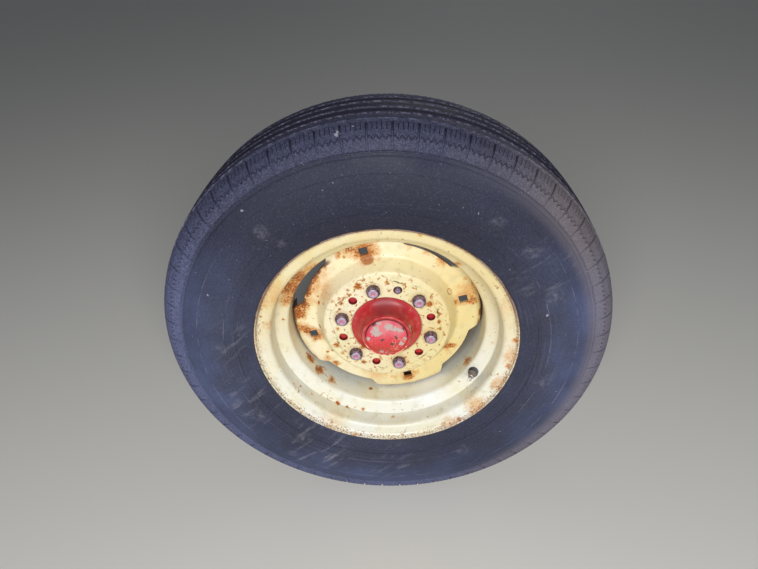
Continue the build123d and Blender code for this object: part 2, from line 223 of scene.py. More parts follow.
# Places of wear, as (radius, angle, depth, size, strength). Of the rust, the large spots have
# ragged outlines, and the small marks are flakes and scratches.
RIM_SPOTS = (
    (168, 134, -3, 12, 0.72), (172, 142, -5, 16, 0.85), (174, 150, -6, 18, 0.88),
    (172, 158, -4, 15, 0.72), (190, 152, -35, 20, 0.48), (200, 148, -42, 18, 0.42),
    (207, 156, -46, 11, 0.5), (192, 168, -35, 13, 0.44), (164, 212, 25, 10, 0.95),
    (164, 221, 18, 9, 0.9), (164, 231, 12, 8, 0.75), (206, 352, -43, 17, 0.5),
    (208, 302, -45, 15, 0.46), (164, 328, 14, 9, 0.85), (170, 47, -4, 8, 0.72),
    (167, 93, -2, 9, 0.5), (200, 240, -40, 22, 0.34), (203, 20, -42, 20, 0.36),
    (206, 318, -42, 20, 0.55), (207, 335, -43, 16, 0.5), (171, 120, 96, 26, 0.6),
    (176, 250, 100, 30, 0.55), (200, 20, 112, 26, 0.6), (164, 60, 60, 22, 0.6),
    (164, 190, 62, 20, 0.6), (195, 310, 112, 24, 0.55),
)
RIM_MARKS = (
    (186, 215, -26, 3, 0.9), (191, 227, -35, 5, 0.8), (185, 240, -13, 6, 1.0),
    (185, 246, -14, 4, 0.85), (184, 250, -10, 4, 0.7), (183, 255, -10, 5, 0.85),
    (186, 272, -22, 5, 0.6), (164, 258, 25, 5, 0.95), (186, 223, -24, 3, 0.8),
    (181, 290, -9, 4, 0.6), (179, 310, -8, 3, 0.7), (171, 317, -4, 4, 0.8),
    (208, 306, -46, 6, 1.0), (206, 298, -43, 6, 0.7), (197, 321, -38, 4, 0.5),
    (197, 276, -38, 5, 0.7), (193, 265, -36, 4, 0.6), (211, 253, -50, 8, 0.6),
    (199, 236, -38, 3, 0.8), (191, 41, -35, 6, 0.7), (207, 1, -44, 8, 0.8),
    (206, 346, -43, 8, 0.8), (164, 0, 15, 3, 0.7), (180, 351, -8, 5, 0.6),
    (204, 164, -41, 4, 0.95), (191, 170, -35, 5, 0.9), (173, 172, -5, 5, 1.0),
    (189, 210, -34, 6, 0.5), (201, 108, -40, 4, 0.6), (203, 75, -42, 5, 0.6),
)
DISC_SPOTS = (
    (132, 104, 30, 19, 0.85), (146, 113, 31, 12, 0.8), (150, 121, 30, 9, 0.7),
    (144, 133, 38, 9, 0.7), (142, 148, 30, 10, 0.8), (143, 158, 30, 12, 0.9),
    (148, 170, 36, 14, 1.0), (149, 177, 31, 12, 0.95), (139, 165, 30, 11, 0.6),
    (142, 190, 30, 11, 0.9), (154, 188, 32, 10, 0.8), (131, 196, 30, 12, 0.8),
    (144, 220, 30, 8, 0.6), (140, 227, 30, 8, 0.85), (142, 285, 30, 9, 0.8),
    (133, 291, 30, 9, 0.6), (135, 276, 30, 6, 0.5), (121, 14, 30, 8, 0.8),
    (147, 13, 30, 8, 0.8), (127, 328, 30, 9, 0.9), (144, 50, 36, 10, 0.8),
    (144, 62, 31, 8, 0.6), (144, 75, 31, 9, 0.5), (159, 200, 45, 12, 0.7),
    (138, 140, 30, 16, 0.5), (138, 152, 30, 18, 0.6), (136, 165, 30, 16, 0.5),
    (110, 150, 34, 26, 0.5), (120, 260, 36, 26, 0.5), (148, 20, 40, 22, 0.6),
)
DISC_MARKS = (
    (118, 164, 27, 4.5, 1.0), (112, 160, 16, 4, 0.7), (123, 159, 30, 3, 0.8),
    (116, 187, 24, 6, 1.0), (112, 190, 20, 4, 0.8), (137, 119, 30, 5, 0.7),
    (92, 118, 2, 8, 1.0), (93, 122, 1, 5, 0.85), (101, 149, 2, 4, 0.7),
    (88, 146, 1, 6, 0.85), (84, 33, 0, 8, 1.0), (82, 182, 0, 5, 0.7),
    (79, 198, 0, 4, 0.7), (95, 204, 2, 8, 0.85), (96, 216, 2, 5, 0.7),
    (93, 233, 2, 5, 0.7), (86, 241, 0, 6, 0.95), (88, 88, 1, 5, 0.85),
    (76, 252, 0, 4, 0.6), (71, 284, 0, 4, 0.75), (84, 295, 0, 4, 0.7),
    (94, 29, 2, 4, 0.6), (88, 6, 0, 5, 0.95), (150, 30, 30, 5, 0.6),
    (123, 216, 30, 4, 0.8), (132, 215, 30, 4, 0.8), (110, 330, 12, 4, 0.7),
    (98, 311, 2, 5, 0.5), (68, 259, 0, 4, 0.7), (60, 225, 0, 6, 0.8),
    # The marks from here on darken the upper left flat's sheared edge, as rust and painted shade
    (144, 140, 31, 6, 0.9), (144, 146, 30, 7, 1.0), (144, 153, 30, 7, 1.0),
    (144, 160, 30, 7, 1.0), (145, 167, 31, 7, 1.0),
)
# Places of cracked paint and painted shade along the hexagon's creases
HEXAGON_CRACKS_AND_SHADE = (
    (90, 78, 0, 17, 1.0), (91, 18, 0, 14, 1.0), (92, 314, 0, 12, 0.7), (88, 240, 0, 12, 0.7),
    (88, 202, 0, 15, 0.8), (88, 148, 0, 15, 0.9), (90, 58, 0, 10, 0.6), (90, 262, 0, 12, 0.7),
)
RIM_CRACKS = (
    (165, 222, 16, 30, 1.0), (178, 232, -8, 22, 0.9), (190, 215, -35, 16, 0.9),
    (198, 170, -38, 30, 0.9), (202, 28, -40, 34, 0.8), (188, 44, -34, 22, 0.8),
    (204, 338, -42, 40, 0.9), (186, 322, -20, 22, 0.7), (204, 240, -42, 26, 0.7),
    (205, 275, -42, 24, 0.6), (203, 105, -42, 30, 0.5),
)
CAP_SCUFFS = (
    (20, 146, -29, 10, 1.0), (27, 133, -29, 6, 0.9), (31, 112, -29, 5, 0.8),
    (22, 77, -29, 8, 1.0), (23, 52, -29, 7, 0.95), (26, 32, -29, 6, 0.85),
    (31.5, 355, -29, 5, 0.9), (27, 334, -29, 5, 0.8), (30.5, 253, -29, 5, 0.8),
    (31, 270, -29, 4, 0.6), (30.5, 184, -29, 4.5, 0.9),
)
CAP_CHIPS = (
    (8.6, 212, -29, 4.5, 1.0), (16, 304, -29, 5, 0.9), (16, 2, -29, 4.5, 0.85),
    (33.6, 127, -28, 5, 1.0), (33.8, 32, -28, 4, 0.8), (21, 330, -29, 3.5, 0.8),
)
WALL_SCUFFS = (
    (314, 128, -57, 4, 0.9), (286, 157, -62, 4, 1.0), (254, 15, -62, 5, 0.85),
    (251, 19, -62, 4, 0.7), (239, 289, -57, 6, 0.85), (292, 213, -61, 5, 0.6),
    (350, 99, -40, 9, 0.75), (355, 96, -34, 6, 0.65),
)
WALL_SMEARS = (
    (274, 128, -62, 15, 0.6), (245, 126, -60, 12, 0.3), (276, 40, -62, 20, 0.35),
    (270, 22, -62, 20, 0.4), (275, 55, -62, 16, 0.3), (245, 232, -60, 18, 0.4),
    (262, 212, -62, 20, 0.4), (240, 250, -58, 16, 0.3), (262, 178, -62, 18, 0.3),
    (262, 300, -62, 20, 0.25), (262, 345, -62, 24, 0.3),
)
WALL_WIPES = (
    (262, 205, -62, 80, 0.42), (258, 240, -62, 90, 0.5), (262, 270, -62, 70, 0.3),
    (240, 176, -60, 60, 0.3), (270, 30, -62, 80, 0.25),
)
# Places of painted shade on the tyre's lower part
WALL_PAINTED_SHADE = ((290, 305, -60, 190, 0.42), (268, 226, -60, 120, 0.36))


# Finishes: where a point lies on the wheel


def blank(name, **values):
    """A material with only a Principled shader, whose even values are set on its sockets."""
    material = bpy.data.materials.new(name)
    material.use_nodes = True
    tree = material.node_tree
    tree.nodes.clear()
    even = {key.replace("_", " "): value for key, value in values.items()}
    shader = add(tree, "BsdfPrincipled", even, out=None)
    add(tree, "OutputMaterial", {"Surface": shader.outputs[0]})
    return material, tree, shader


class Finish:
    """A material in the making: its nodes, and where a point of it lies on the wheel.

    Its places are in metres and its angle in radians. Shares run from 0 to 1. The methods take
    sizes and distances in millimetres, and colours as hex values, settings or sockets.
    """

    def __init__(self, name, **even):
        self.material, self.tree, self.shader = blank(name, **even)
        self.spot = add(self.tree, "TexCoord", out="Object")
        axes = add(self.tree, "SeparateXYZ", {0: self.spot}, out=None).outputs
        self.right, self.inward, self.height = axes["X"], axes["Y"], axes["Z"]

    @cached_property
    def radius(self):
        """Distance from the wheel's axis."""
        flat = add(self.tree, "VectorMath", {0: self.spot, 1: (1, 0, 1)}, operation="MULTIPLY")
        return add(self.tree, "VectorMath", {0: flat}, "Value", operation="LENGTH")

    @cached_property
    def depth(self):
        """Distance inwards from the disc's outer face."""
        return add(self.tree, "Math", {0: self.inward, 1: FACE_Y}, operation="SUBTRACT")

    @cached_property
    def angle(self):
        """Turn about the axis, from +X towards +Z."""
        return add(self.tree, "Math", {0: self.height, 1: self.right}, operation="ARCTAN2")

    @cached_property
    def strayed(self):
        """The place pushed far, for wide ragged spots."""
        return self.drifted(13, 26)

    @cached_property
    def nudged(self):
        """The place pushed a little, for flakes, cracks and strokes."""
        return self.drifted(4, 7)

    def drifted(self, grain, reach):
        """The place pushed about by noise, so that what is drawn there gets a ragged outline."""
        push = add(self.tree, "TexNoise", {"Vector": self.spot, "Scale": per(grain), "Detail": 4.0}, 1)
        push = add(self.tree, "VectorMath", {0: push, 1: (0.5, 0.5, 0.5)}, operation="SUBTRACT")
        drift = {0: push, 1: (reach * MM,) * 3, 2: self.spot}
        return add(self.tree, "VectorMath", drift, operation="MULTIPLY_ADD")

    def joined(self, shares, operation):
        """Shares put together one after another."""
        total = shares[0]
        for share in shares[1:]:
            total = add(self.tree, "Math", {0: total, 1: share}, operation=operation)
        return total

    def meeting(self, *shares):
        """Where all the shares meet."""
        return self.joined(shares, "MULTIPLY")

    def strongest(self, *shares):
        """The largest of the shares."""
        return self.joined(shares, "MAXIMUM")

    def zone(self, *edges, strength=1.0):
        """Where a point is past each edge: a value with where its share starts and is full."""
        shares = []
        for value, start, full in edges:
            rise = {0: value, 1: start * MM, 2: full * MM, 4: 1.0 if shares else strength}
            shares.append(add(self.tree, "MapRange", rise, **EASED))
        return self.meeting(*shares)

    def band(self, value, middle, half, strength=1.0):
        """A soft line where a value is near its middle."""
        gap = add(self.tree, "Math", {0: value, 1: middle * MM}, operation="SUBTRACT")
        gap = add(self.tree, "Math", {0: gap}, operation="ABSOLUTE")
        return self.zone((gap, half, half * 0.3), strength=strength)

    def broken(self, grain, low, high, strength=1.0, detail=4.0):
        """Stretches of a size, to break up a line or film."""
        noise = {"Vector": self.spot, "Scale": per(grain), "Detail": detail}
        noise = add(self.tree, "TexNoise", noise)
        return add(self.tree, "MapRange", {0: noise, 1: low, 2: high, 4: strength}, **EASED)

    def patches(self, position, spots, spread=1.0):
        """Soft spots, given as (radius, angle, depth, size, strength), strongest in the middle."""
        shares = []
        for radius, angle, depth, size, strength in spots:
            centre = tuple(place(radius, angle, depth))
            gap = add(self.tree, "VectorMath", {0: position, 1: centre}, "Value", operation="DISTANCE")
            reach = size * spread
            shares.append(self.zone((gap, reach, reach * 0.2), strength=strength))
        return self.strongest(*shares)

    def from_circle(self, circle):
        """How far a point is, across the axis, from the nearest centre on a circle of holes."""
        radius, first, count = circle
        half = pi / count
        turn = add(self.tree, "Math", {0: self.angle, 1: radians(first)}, operation="SUBTRACT")
        turn = add(self.tree, "Math", {0: turn, 1: half, 2: -half}, operation="WRAP")
        along = add(self.tree, "Math", {0: turn}, operation="COSINE")
        along = {0: along, 1: self.radius, 2: -radius * MM}
        along = add(self.tree, "Math", along, operation="MULTIPLY_ADD")
        across = add(self.tree, "Math", {0: turn}, operation="SINE")
        across = add(self.tree, "Math", {0: across, 1: self.radius}, operation="MULTIPLY")
        flat = add(self.tree, "CombineXYZ", {0: along, 1: across})
        return add(self.tree, "VectorMath", {0: flat}, "Value", operation="LENGTH")

    def laid(self, coats):
        """Pairs of share and colour, from pairs of the coat's own function and colour."""
        return [(make(self), tint) for make, tint in coats]

    def layered(self, base, *coats):
        """Pairs of share and colour, laid over a base one after another."""
        for share, tint in coats:
            base, tint = (colour(text) if isinstance(text, str) else text for text in (base, tint))
            base = add(self.tree, "Mix", {0: share, 6: base, 7: tint}, 2, data_type="RGBA")
        return base

    def finished(self, final, rough, bump):
        """The material, with its colour, roughness (share, least, most) and bump.

        The bump is (height, strength, depth).
        """
        share, least, most = rough
        height, strength, depth = bump
        rough = add(self.tree, "MapRange", {0: share, 3: least, 4: most})
        bump = {"Height": height, "Strength": strength, "Distance": depth * MM}
        bump = add(self.tree, "Bump", bump)
        for socket, value in (("Base Color", final), ("Roughness", rough), ("Normal", bump)):
            self.tree.links.new(value, self.shader.inputs[socket])
        return self.material


# Finishes: enamel and its rust


def rusted_enamel(name, tones, yellowing_and_light_grade, gloss, spots, marks, fields, coats):
    """Brushed-on enamel over pressed steel, rusting through.

    Thick brush paint gives a soft gloss over a cream that has yellowed in clouds and grades to
    a second cream towards one side: on the disc that grade is yellowing, on the rim it is painted
    light, sky light at the bottom and warm bounce light at the top. Rust stains it orange, breaks
    it in matt brown grains and leaves dark flecks.
    """
    at = Finish(name, IOR=1.5)
    tree = at.tree
    pale, deep, cloudy = tones
    way, near, far = yellowing_and_light_grade
    along = add(tree, "VectorMath", {0: at.spot, 1: way}, "Value", operation="DOT_PRODUCT")
    clouds = at.broken(60, 0.42, 0.68, 0.6)
    grime = at.broken(15, 0.5, 0.78, 0.32)
    # The grade towards one side is yellowing on the disc and painted light on the rim
    cream = at.layered(pale, (at.zone((along, near, far)), deep), (clouds, cloudy), (grime, "B7A67A"))

    # Rust starts where its own places and a fine grain add up
    field = at.strongest(at.patches(at.strayed, spots, 1.9), at.patches(at.nudged, marks, 1.3))
    grain = {"Vector": at.spot, "Scale": per(3.0), "Detail": 5.0, "Roughness": 0.7}
    grain = add(tree, "TexNoise", grain)
    level = add(tree, "Math", {0: grain, 1: 0.7, 2: field}, operation="MULTIPLY_ADD")
    stain = add(tree, "MapRange", {0: level, 1: 0.5, 2: 1.05, 4: 0.75}, **EASED)
    field = at.strongest(field, *(make(at) for make in fields))
    level = add(tree, "Math", {0: field, 1: 0.6, 2: grain}, operation="MULTIPLY_ADD")
    bare = add(tree, "MapRange", {0: level, 1: 0.9, 2: 0.99}, **EASED)
    fleck = at.broken(4.4, 0.685, 0.73, 0.85, detail=3.0)
    tone = add(tree, "TexNoise", {"Vector": at.spot, "Scale": per(2.2), "Detail": 4.0})
    brown = add(tree, "MapRange", {0: tone, 1: 0.36, 2: 0.52}, **EASED)
    light = add(tree, "MapRange", {0: tone, 1: 0.5, 2: 0.68}, **EASED)
    rust = at.layered("5E371A", (brown, "A85C24"), (light, "CC8A45"))
    final = at.layered(cream, (stain, "D0913F"), (bare, rust), (fleck, "76602C"), *at.laid(coats))

    # Bare rust lies a paint film lower and is pitted; the paint has a faint brushed skin
    film = add(tree, "Math", {0: bare, 1: -1.0, 2: tone}, operation="MULTIPLY_ADD")
    skin = add(tree, "TexNoise", {"Vector": at.spot, "Scale": per(9), "Detail": 2.0})
    relief = add(tree, "Math", {0: skin, 1: 0.8, 2: film}, operation="MULTIPLY_ADD")
    return at.finished(final, (bare, gloss, 0.88), (relief, 0.4, 0.3))


def flange_specks(at):
    """Thin rust over the rim's flange."""
    return at.zone((at.radius, 190, 210), (at.depth, 0, -30), strength=0.66)


def lip_band(at):
    """The upper half of the rim's rolled lip, worn to purple-brown."""
    return at.zone((at.height, 0, 90), (at.radius, 206.6, 208.0), (at.depth, -40, -46), strength=0.85)


def lip_line(at):
    """The dark line where the lip meets the tyre."""
    return at.zone((at.radius, 210.6, 211.4), (at.depth, -40, -46), strength=0.95)


def lip_painted_glint(at):
    """A painted highlight along the outermost edge of the lip, here and there."""
    edge = at.band(at.radius, 211.2, 1.0, 0.4)
    return at.meeting(edge, at.broken(25, 0.42, 0.6), at.zone((at.depth, -30, -46)))


def seat_crease_grime_and_shade(at):
    """Grime and painted shade in the two creases between the flange, the bead seat and the slope."""
    creases = at.strongest(at.band(at.radius, 187.2, 2.4, 0.14), at.band(at.radius, 203.6, 1.6, 0.2))
    return at.meeting(creases, at.zone((at.depth, 10, -4)), at.broken(18, 0.3, 0.6))


def painted_light_patch(at):
    """A patch of painted light that whitens the paint between the bottom lobe and the valve."""
    return at.patches(at.strayed, ((165, 297, 18, 52, 0.8), (190, 308, -33, 30, 0.6)))


def well_dust_and_shade(at):
    """Dust and painted shade in the well behind the disc's lobes."""
    return at.zone((at.depth, 40, 58), strength=0.5)


def rear_dirt(at):
    """Road dirt dried on the inner side of the rim."""
    return at.meeting(at.zone((at.depth, 84, 92), strength=0.55), at.broken(30, 0.3, 0.62))


def hexagon_cracks_and_shade(at):
    """Cracked paint and painted shade along the creases of the embossed hexagon, whose sides are 89.5
    mm out.
    """
    shares = []
    for turn in (15, 75, 135):
        way = (cos(radians(turn)), 0, sin(radians(turn)))
        along = add(at.tree, "VectorMath", {0: at.nudged, 1: way}, "Value", operation="DOT_PRODUCT")
        shares.append(add(at.tree, "Math", {0: along}, operation="ABSOLUTE"))
    creases = at.band(at.strongest(*shares), 89.5, 1.3, 0.95)
    return at.meeting(creases, at.patches(at.spot, HEXAGON_CRACKS_AND_SHADE))


def crazing(at, where):
    """Short cracks and scratches in thick paint, where a share lets them be."""
    cells = {"Vector": at.nudged, "Scale": per(17)}
    line = add(at.tree, "TexVoronoi", cells, "Distance", feature="DISTANCE_TO_EDGE")
    line = add(at.tree, "MapRange", {0: line, 1: 0.07, 2: 0.03}, **EASED)
    return at.meeting(line, where, at.broken(9, 0.5, 0.6))


def pad_cracks(at):
    """Cracks in the paint of the pad and around its emboss."""
    return crazing(at, at.zone((at.radius, 52, 60), (at.radius, 112, 96)))


def rim_cracks(at):
    """Scratches on the rim, most of them below the lobes and on the flange."""
    return crazing(at, at.patches(at.spot, RIM_CRACKS))


def edge_rust(at):
    """Rust along the bent edge of the disc's lobes."""
    edge = at.band(at.radius, 158.5, 4.0)
    return at.meeting(edge, at.zone((at.depth, 29, 33)), at.broken(16, 0.42, 0.6))


def bolt_stains(at):
    """Rust that has run from the six lug seats."""
    return at.zone((at.from_circle(LUG_HOLES), 20, 11), strength=0.34)


def small_hole_walls(at):
    """The walls of the six small holes, red with the hub's paint."""
    return at.zone((at.from_circle(SMALL_HOLES), 7.6, 7.2))


def square_hole_rims(at):
    """Rust round the four square holes."""
    return at.zone((at.from_circle(SQUARE_HOLES), 18, 9), strength=0.42)


def sheared_edge_and_crevice_shade(at):
    """The bare sheared edge of the disc's flats, and rust and painted shade in the crevice at its
    lobes.
    """
    facing = add(at.tree, "SeparateXYZ", {0: add(at.tree, "TexCoord", out="Normal")}, "Y")
    facing = add(at.tree, "Math", {0: facing}, operation="ABSOLUTE")
    cut = add(at.tree, "MapRange", {0: facing, 1: 0.6, 2: 0.3, 4: 0.8}, **EASED)
    # The crevice at the lobes is darkened with rust and painted shade
    crevice = at.zone((at.radius, 156.5, 158.5), (at.depth, 32, 37))
    return at.strongest(crevice, at.meeting(at.band(at.radius, 143.9, 1.6), cut))


def flat_rust_and_shade(at):
    """Dark rust and painted shade along the sheared edge of the upper left flat."""
    places = at.patches(at.spot, [(144, angle, 31, 17, 1.0) for angle in range(133, 166, 8)])
    return at.meeting(at.band(at.radius, 144.0, 6.0, 0.95), places, at.broken(7, 0.34, 0.5))


def round_imprint(at):
    """A round brown imprint below the upper square hole."""
    ring = at.patches(at.spot, ((119, 103.5, 27, 15, 1.0),))
    return add(at.tree, "MapRange", {0: ring, 1: 0.28, 2: 0.5, 4: 0.75}, **EASED)


def ring_mark(at):
    """A small ring of rust beside the right square hole."""
    centre = tuple(place(117.5, 27, 25))
    gap = add(at.tree, "VectorMath", {0: at.spot, 1: centre}, "Value", operation="DISTANCE")
    return at.meeting(at.band(gap, 4.6, 1.7, 0.85), at.broken(4, 0.3, 0.5))


def scuffed_red(name, tones, gloss, coats):
    """Red enamel brushed over cast iron or steel: wet-looking where thick, chalky where faded."""
    at = Finish(name, IOR=1.5)
    top, bottom = tones
    laid = at.laid(coats)
    low = at.zone((at.height, 25, -25))
    final = at.layered(top, (low, bottom), (at.broken(14, 0.5, 0.74, 0.4), "C96A5C"), *laid)
    cast = add(at.tree, "TexNoise", {"Vector": at.spot, "Scale": per(2.4), "Detail": 3.0})
    worn = at.strongest(*(share for share, _ in laid))
    relief = add(at.tree, "Math", {0: worn, 1: -0.6, 2: cast}, operation="MULTIPLY_ADD")
    return at.finished(final, (worn, gloss, 0.75), (relief, 0.3, 0.22))


def flaked(at, spots, grain, spread=1.0):
    """Spots that end in torn flakes."""
    soft = at.patches(at.nudged, spots, spread)
    noise = add(at.tree, "TexNoise", {"Vector": at.spot, "Scale": per(grain), "Detail": 4.0})
    level = add(at.tree, "Math", {0: noise, 1: 2.6, 2: soft}, operation="MULTIPLY_ADD")
    return add(at.tree, "MapRange", {0: level, 1: 1.86, 2: 1.96}, **EASED)


def cap_scuffs(at):
    """Paint worn to grey primer on the cap's face."""
    return flaked(at, CAP_SCUFFS, grain=3.0, spread=1.45)


def cap_fade(at):
    """Paint rubbed pale around the scuffs."""
    return at.patches(at.strayed, ((22, 110, -29, 30, 0.7), (24, 40, -29, 24, 0.6)))


def cap_dirt(at):
    """Brown dirt in the lower part of the cap."""
    return at.meeting(at.zone((at.height, -8, -26), strength=0.7), at.broken(5, 0.4, 0.56))


def cap_chips(at):
    """Dark chips and grease on the cap's face."""
    return flaked(at, CAP_CHIPS, grain=2.5, spread=1.3)


def cap_flecks(at):
    """Fine pale chips over the right and lower part of the cap's face."""
    places = at.patches(at.nudged, ((25, 325, -29, 22, 1.0), (24, 200, -29, 10, 0.7)))
    return at.meeting(at.broken(2.6, 0.55, 0.6, 0.85, detail=3.0), places)


def cap_gap(at):
    """Black grease in the groove between the cap and the nose, gone at the bottom."""
    return at.meeting(at.band(at.radius, 34.4, 1.4), at.zone((at.height, -12, 8), strength=0.85))


def nose_edge(at):
    """Paint rubbed thin and pink on the edge of the hub's nose."""
    edge = at.band(at.radius, 38.6, 1.2, 0.45)
    return at.meeting(edge, at.zone((at.depth, -22, -25)), at.broken(14, 0.42, 0.6))


def nose_rub(at):
    """The nose's lower edge knocked and rubbed to a pale orange."""
    low = at.zone((at.height, -4, -22), (at.depth, -21, -24))
    return at.meeting(at.band(at.radius, 38.4, 1.9, 0.85), low, at.broken(5, 0.44, 0.56))


def bell_painted_reflection(at):
    """A painted dark reflection along the top of the bell."""
    smear = at.patches(at.spot, ((47, 92, -12, 34, 0.5), (47, 60, -14, 24, 0.35)))
    return at.meeting(smear, at.zone((at.depth, -24, -20)))


def bell_scrape(at):
    """A grey scrape at the right of the nose."""
    return flaked(at, ((42.5, 20, -19, 8, 1.1), (41.5, 10, -21, 6, 1.0)), grain=3.0)


def collar_dirt(at):
    """Brown dirt where the bell comes out of the disc."""
    low = at.zone((at.height, 30, -20), (at.depth, -6, -2), strength=0.8)
    return at.meeting(at.band(at.radius, 58.6, 2.6), low, at.broken(8, 0.36, 0.5))


def hub_rear(at):
    """Road dirt and grease over the hub's back."""
    return at.meeting(at.zone((at.depth, 24, 34), strength=0.7), at.broken(22, 0.3, 0.6))


# Finishes: rubber and steel


def wipes(at):
    """Pale strokes wiped across the lower left of the tyre's wall."""
    long, short = Vector((0.8, 0, 0.6)) * per(42), Vector((-0.6, 0, 0.8)) * per(9)
    along = add(at.tree, "VectorMath", {0: at.spot, 1: long}, "Value", operation="DOT_PRODUCT")
    across = add(at.tree, "VectorMath", {0: at.nudged, 1: short}, "Value", operation="DOT_PRODUCT")
    strokes = add(at.tree, "CombineXYZ", {0: along, 1: across})
    strokes = add(at.tree, "TexNoise", {"Vector": strokes, "Scale": 1.0, "Detail": 4.0})
    strokes = add(at.tree, "MapRange", {0: strokes, 1: 0.52, 2: 0.74}, **EASED)
    return at.meeting(strokes, at.patches(at.strayed, WALL_WIPES))


def weathered_rubber(name, look):
    """Old tyre rubber: matt, with a bloom, brown where rubbed and dusty on the tread.

    Its blue-grey tint is painted sky light.
    """
    at = Finish(name, IOR=1.52, Specular_IOR_Level=0.3)
    tree = at.tree
    clouds = at.broken(70, 0.3, 0.72)

    # Darker towards the rim, rubbed brown halfway up the wall, and drawn out in fine arcs
    inner = at.zone((at.radius, 306, 230), strength=0.62)
    rubbed = at.zone((at.radius, 222, 246), (at.radius, 312, 282), strength=0.35)
    rubbed = at.meeting(rubbed, at.broken(45, 0.38, 0.66))
    around = add(tree, "Math", {0: at.angle, 1: 2.2}, operation="MULTIPLY")
    across = add(tree, "Math", {0: at.radius, 1: per(5)}, operation="MULTIPLY")
    arcs = add(tree, "CombineXYZ", {0: around, 1: across, 2: at.depth})
    arcs = add(tree, "TexNoise", {"Vector": arcs, "Scale": 1.0, "Detail": 3.0})
    arcs = add(tree, "MapRange", {0: arcs, 1: 0.56, 2: 0.8, 4: 0.18}, **EASED)
    rings = at.strongest(*(at.band(at.radius, middle, 1.3, 0.4) for middle in (298.2, 256.5)))
    rings = at.meeting(rings, at.broken(30, 0.42, 0.62))
    rings = at.strongest(rings, arcs, at.band(at.radius, 324.0, 1.3, 0.4))

    # Painted shade darkens the top of the tyre and its lower part
    top_and_low_painted_shade = at.zone((at.height, 60, 230), strength=0.84)
    top_and_low_painted_shade = at.strongest(top_and_low_painted_shade, at.patches(at.spot, WALL_PAINTED_SHADE))

    # Fine cracks and dust mottle the whole wall
    fine = add(tree, "TexNoise", {"Vector": at.spot, "Scale": per(2.2), "Detail": 5.0})
    pale = add(tree, "MapRange", {0: fine, 1: 0.5, 2: 0.72, 4: 0.16}, **EASED)
    dark = add(tree, "MapRange", {0: fine, 1: 0.5, 2: 0.3, 4: 0.36}, **EASED)
    wall = at.layered(look.rubber, (clouds, look.bloom), (inner, "26252D"), (rubbed, look.rubbed))
    wall = at.layered(wall, (rings, "7C7D92"), (top_and_low_painted_shade, "1E1E2E"), (pale, "70738A"), (dark, "23242F"))

    # Dust lies on the shoulder blocks and the outer rib, brown and thick on the right
    width = add(tree, "Math", {0: at.depth, 1: RIM_MIDDLE * MM}, operation="SUBTRACT")
    width = add(tree, "Math", {0: width}, operation="ABSOLUTE")
    outer = at.zone((width, 41, 44))
    side = at.zone((at.right, 60, 270))
    thin = add(tree, "MapRange", {0: side, 3: 0.22, 4: 0.4})
    dense = add(tree, "MapRange", {0: side, 3: 0.85, 4: 0.55})
    dusty = add(tree, "MapRange", {0: fine, 1: 0.4, 2: 0.66, 3: thin, 4: dense}, **EASED)
    lower = add(tree, "MapRange", {0: at.height, 1: 300 * MM, 2: 100 * MM, 3: 0.35}, **EASED)
    dusty = at.meeting(dusty, at.zone((at.radius, 322, 330)), outer, at.strongest(lower, side))
    fringe = at.meeting(at.zone((at.radius, 304, 326), strength=0.34), outer, side)
    dusty = at.strongest(dusty, fringe)
    earth = at.layered("676A8C", (side, "887D7E"))

    # The crown is darkened with painted shade; pale scuffs mark the wall, and light lines on
    # the ribs' edges are partly wear and partly painted highlight
    inward = add(tree, "MapRange", {0: outer, 3: 0.85, 4: 0.15})
    crown = at.meeting(at.zone((at.radius, 356, 361)), inward)
    fleck = {"Vector": at.spot, "Scale": per(7), "Detail": 5.0, "Roughness": 0.7}
    fleck = add(tree, "TexNoise", fleck)
    fleck = add(tree, "MapRange", {0: fleck, 1: 0.72, 2: 0.78, 4: 0.5}, **EASED)
    smears = at.meeting(at.patches(at.nudged, WALL_SMEARS), at.broken(8, 0.36, 0.8))
    scuffs = at.strongest(fleck, smears, wipes(at), flaked(at, WALL_SCUFFS, grain=5.0))
    # Light lines on the ribs' edges: partly wear, partly painted highlight
    edges = at.strongest(*(at.band(width, edge, 0.9, 0.42) for edge in RIB_EDGES))
    edges = at.meeting(edges, at.zone((at.radius, 358.5, 360)), at.broken(5, 0.42, 0.6))
    final = at.layered(wall, (dusty, earth), (crown, look.tread), (scuffs, "8C8C98"), (edges, "8B87A0"))

    cracks = {"Vector": at.spot, "Scale": per(4)}
    cracks = add(tree, "TexVoronoi", cracks, "Distance", feature="DISTANCE_TO_EDGE")
    split = add(tree, "MapRange", {0: cracks, 2: 0.06}, **EASED)
    relief = add(tree, "Math", {0: split, 1: 0.3, 2: fine}, operation="MULTIPLY_ADD")
    return at.finished(final, (clouds, 0.6, 0.78), (relief, 0.4, 0.4))


def up_valve(at):
    """How far up the valve a point is from its foot on the rim, in metres."""
    foot, axis = valve_line()
    way = add(at.tree, "VectorMath", {0: at.spot, 1: foot}, operation="SUBTRACT")
    return add(at.tree, "VectorMath", {0: way, 1: axis}, "Value", operation="DOT_PRODUCT")


def valve_groove_shade(at):
    """Painted shade in the two grooves and on the foot of the valve's rubber."""
    along = up_valve(at)
    grooves = ((0.6, 2.6), (4.1, 1.3), (8.1, 1.3))
    return at.strongest(*(at.band(along, middle, half, 0.9) for middle, half in grooves))


def valve_dust(at):
    """Dust on the tapering part of the valve's rubber."""
    return at.zone((up_valve(at), 9, 12), strength=0.5)


def thread_dirt_and_end_shade(at):
    """Dirt in the valve's thread, and a painted shade line round its end."""
    along = up_valve(at)
    return at.strongest(at.band(along, 27.6, 2.4, 0.85), at.band(along, 31.2, 0.5, 0.6))


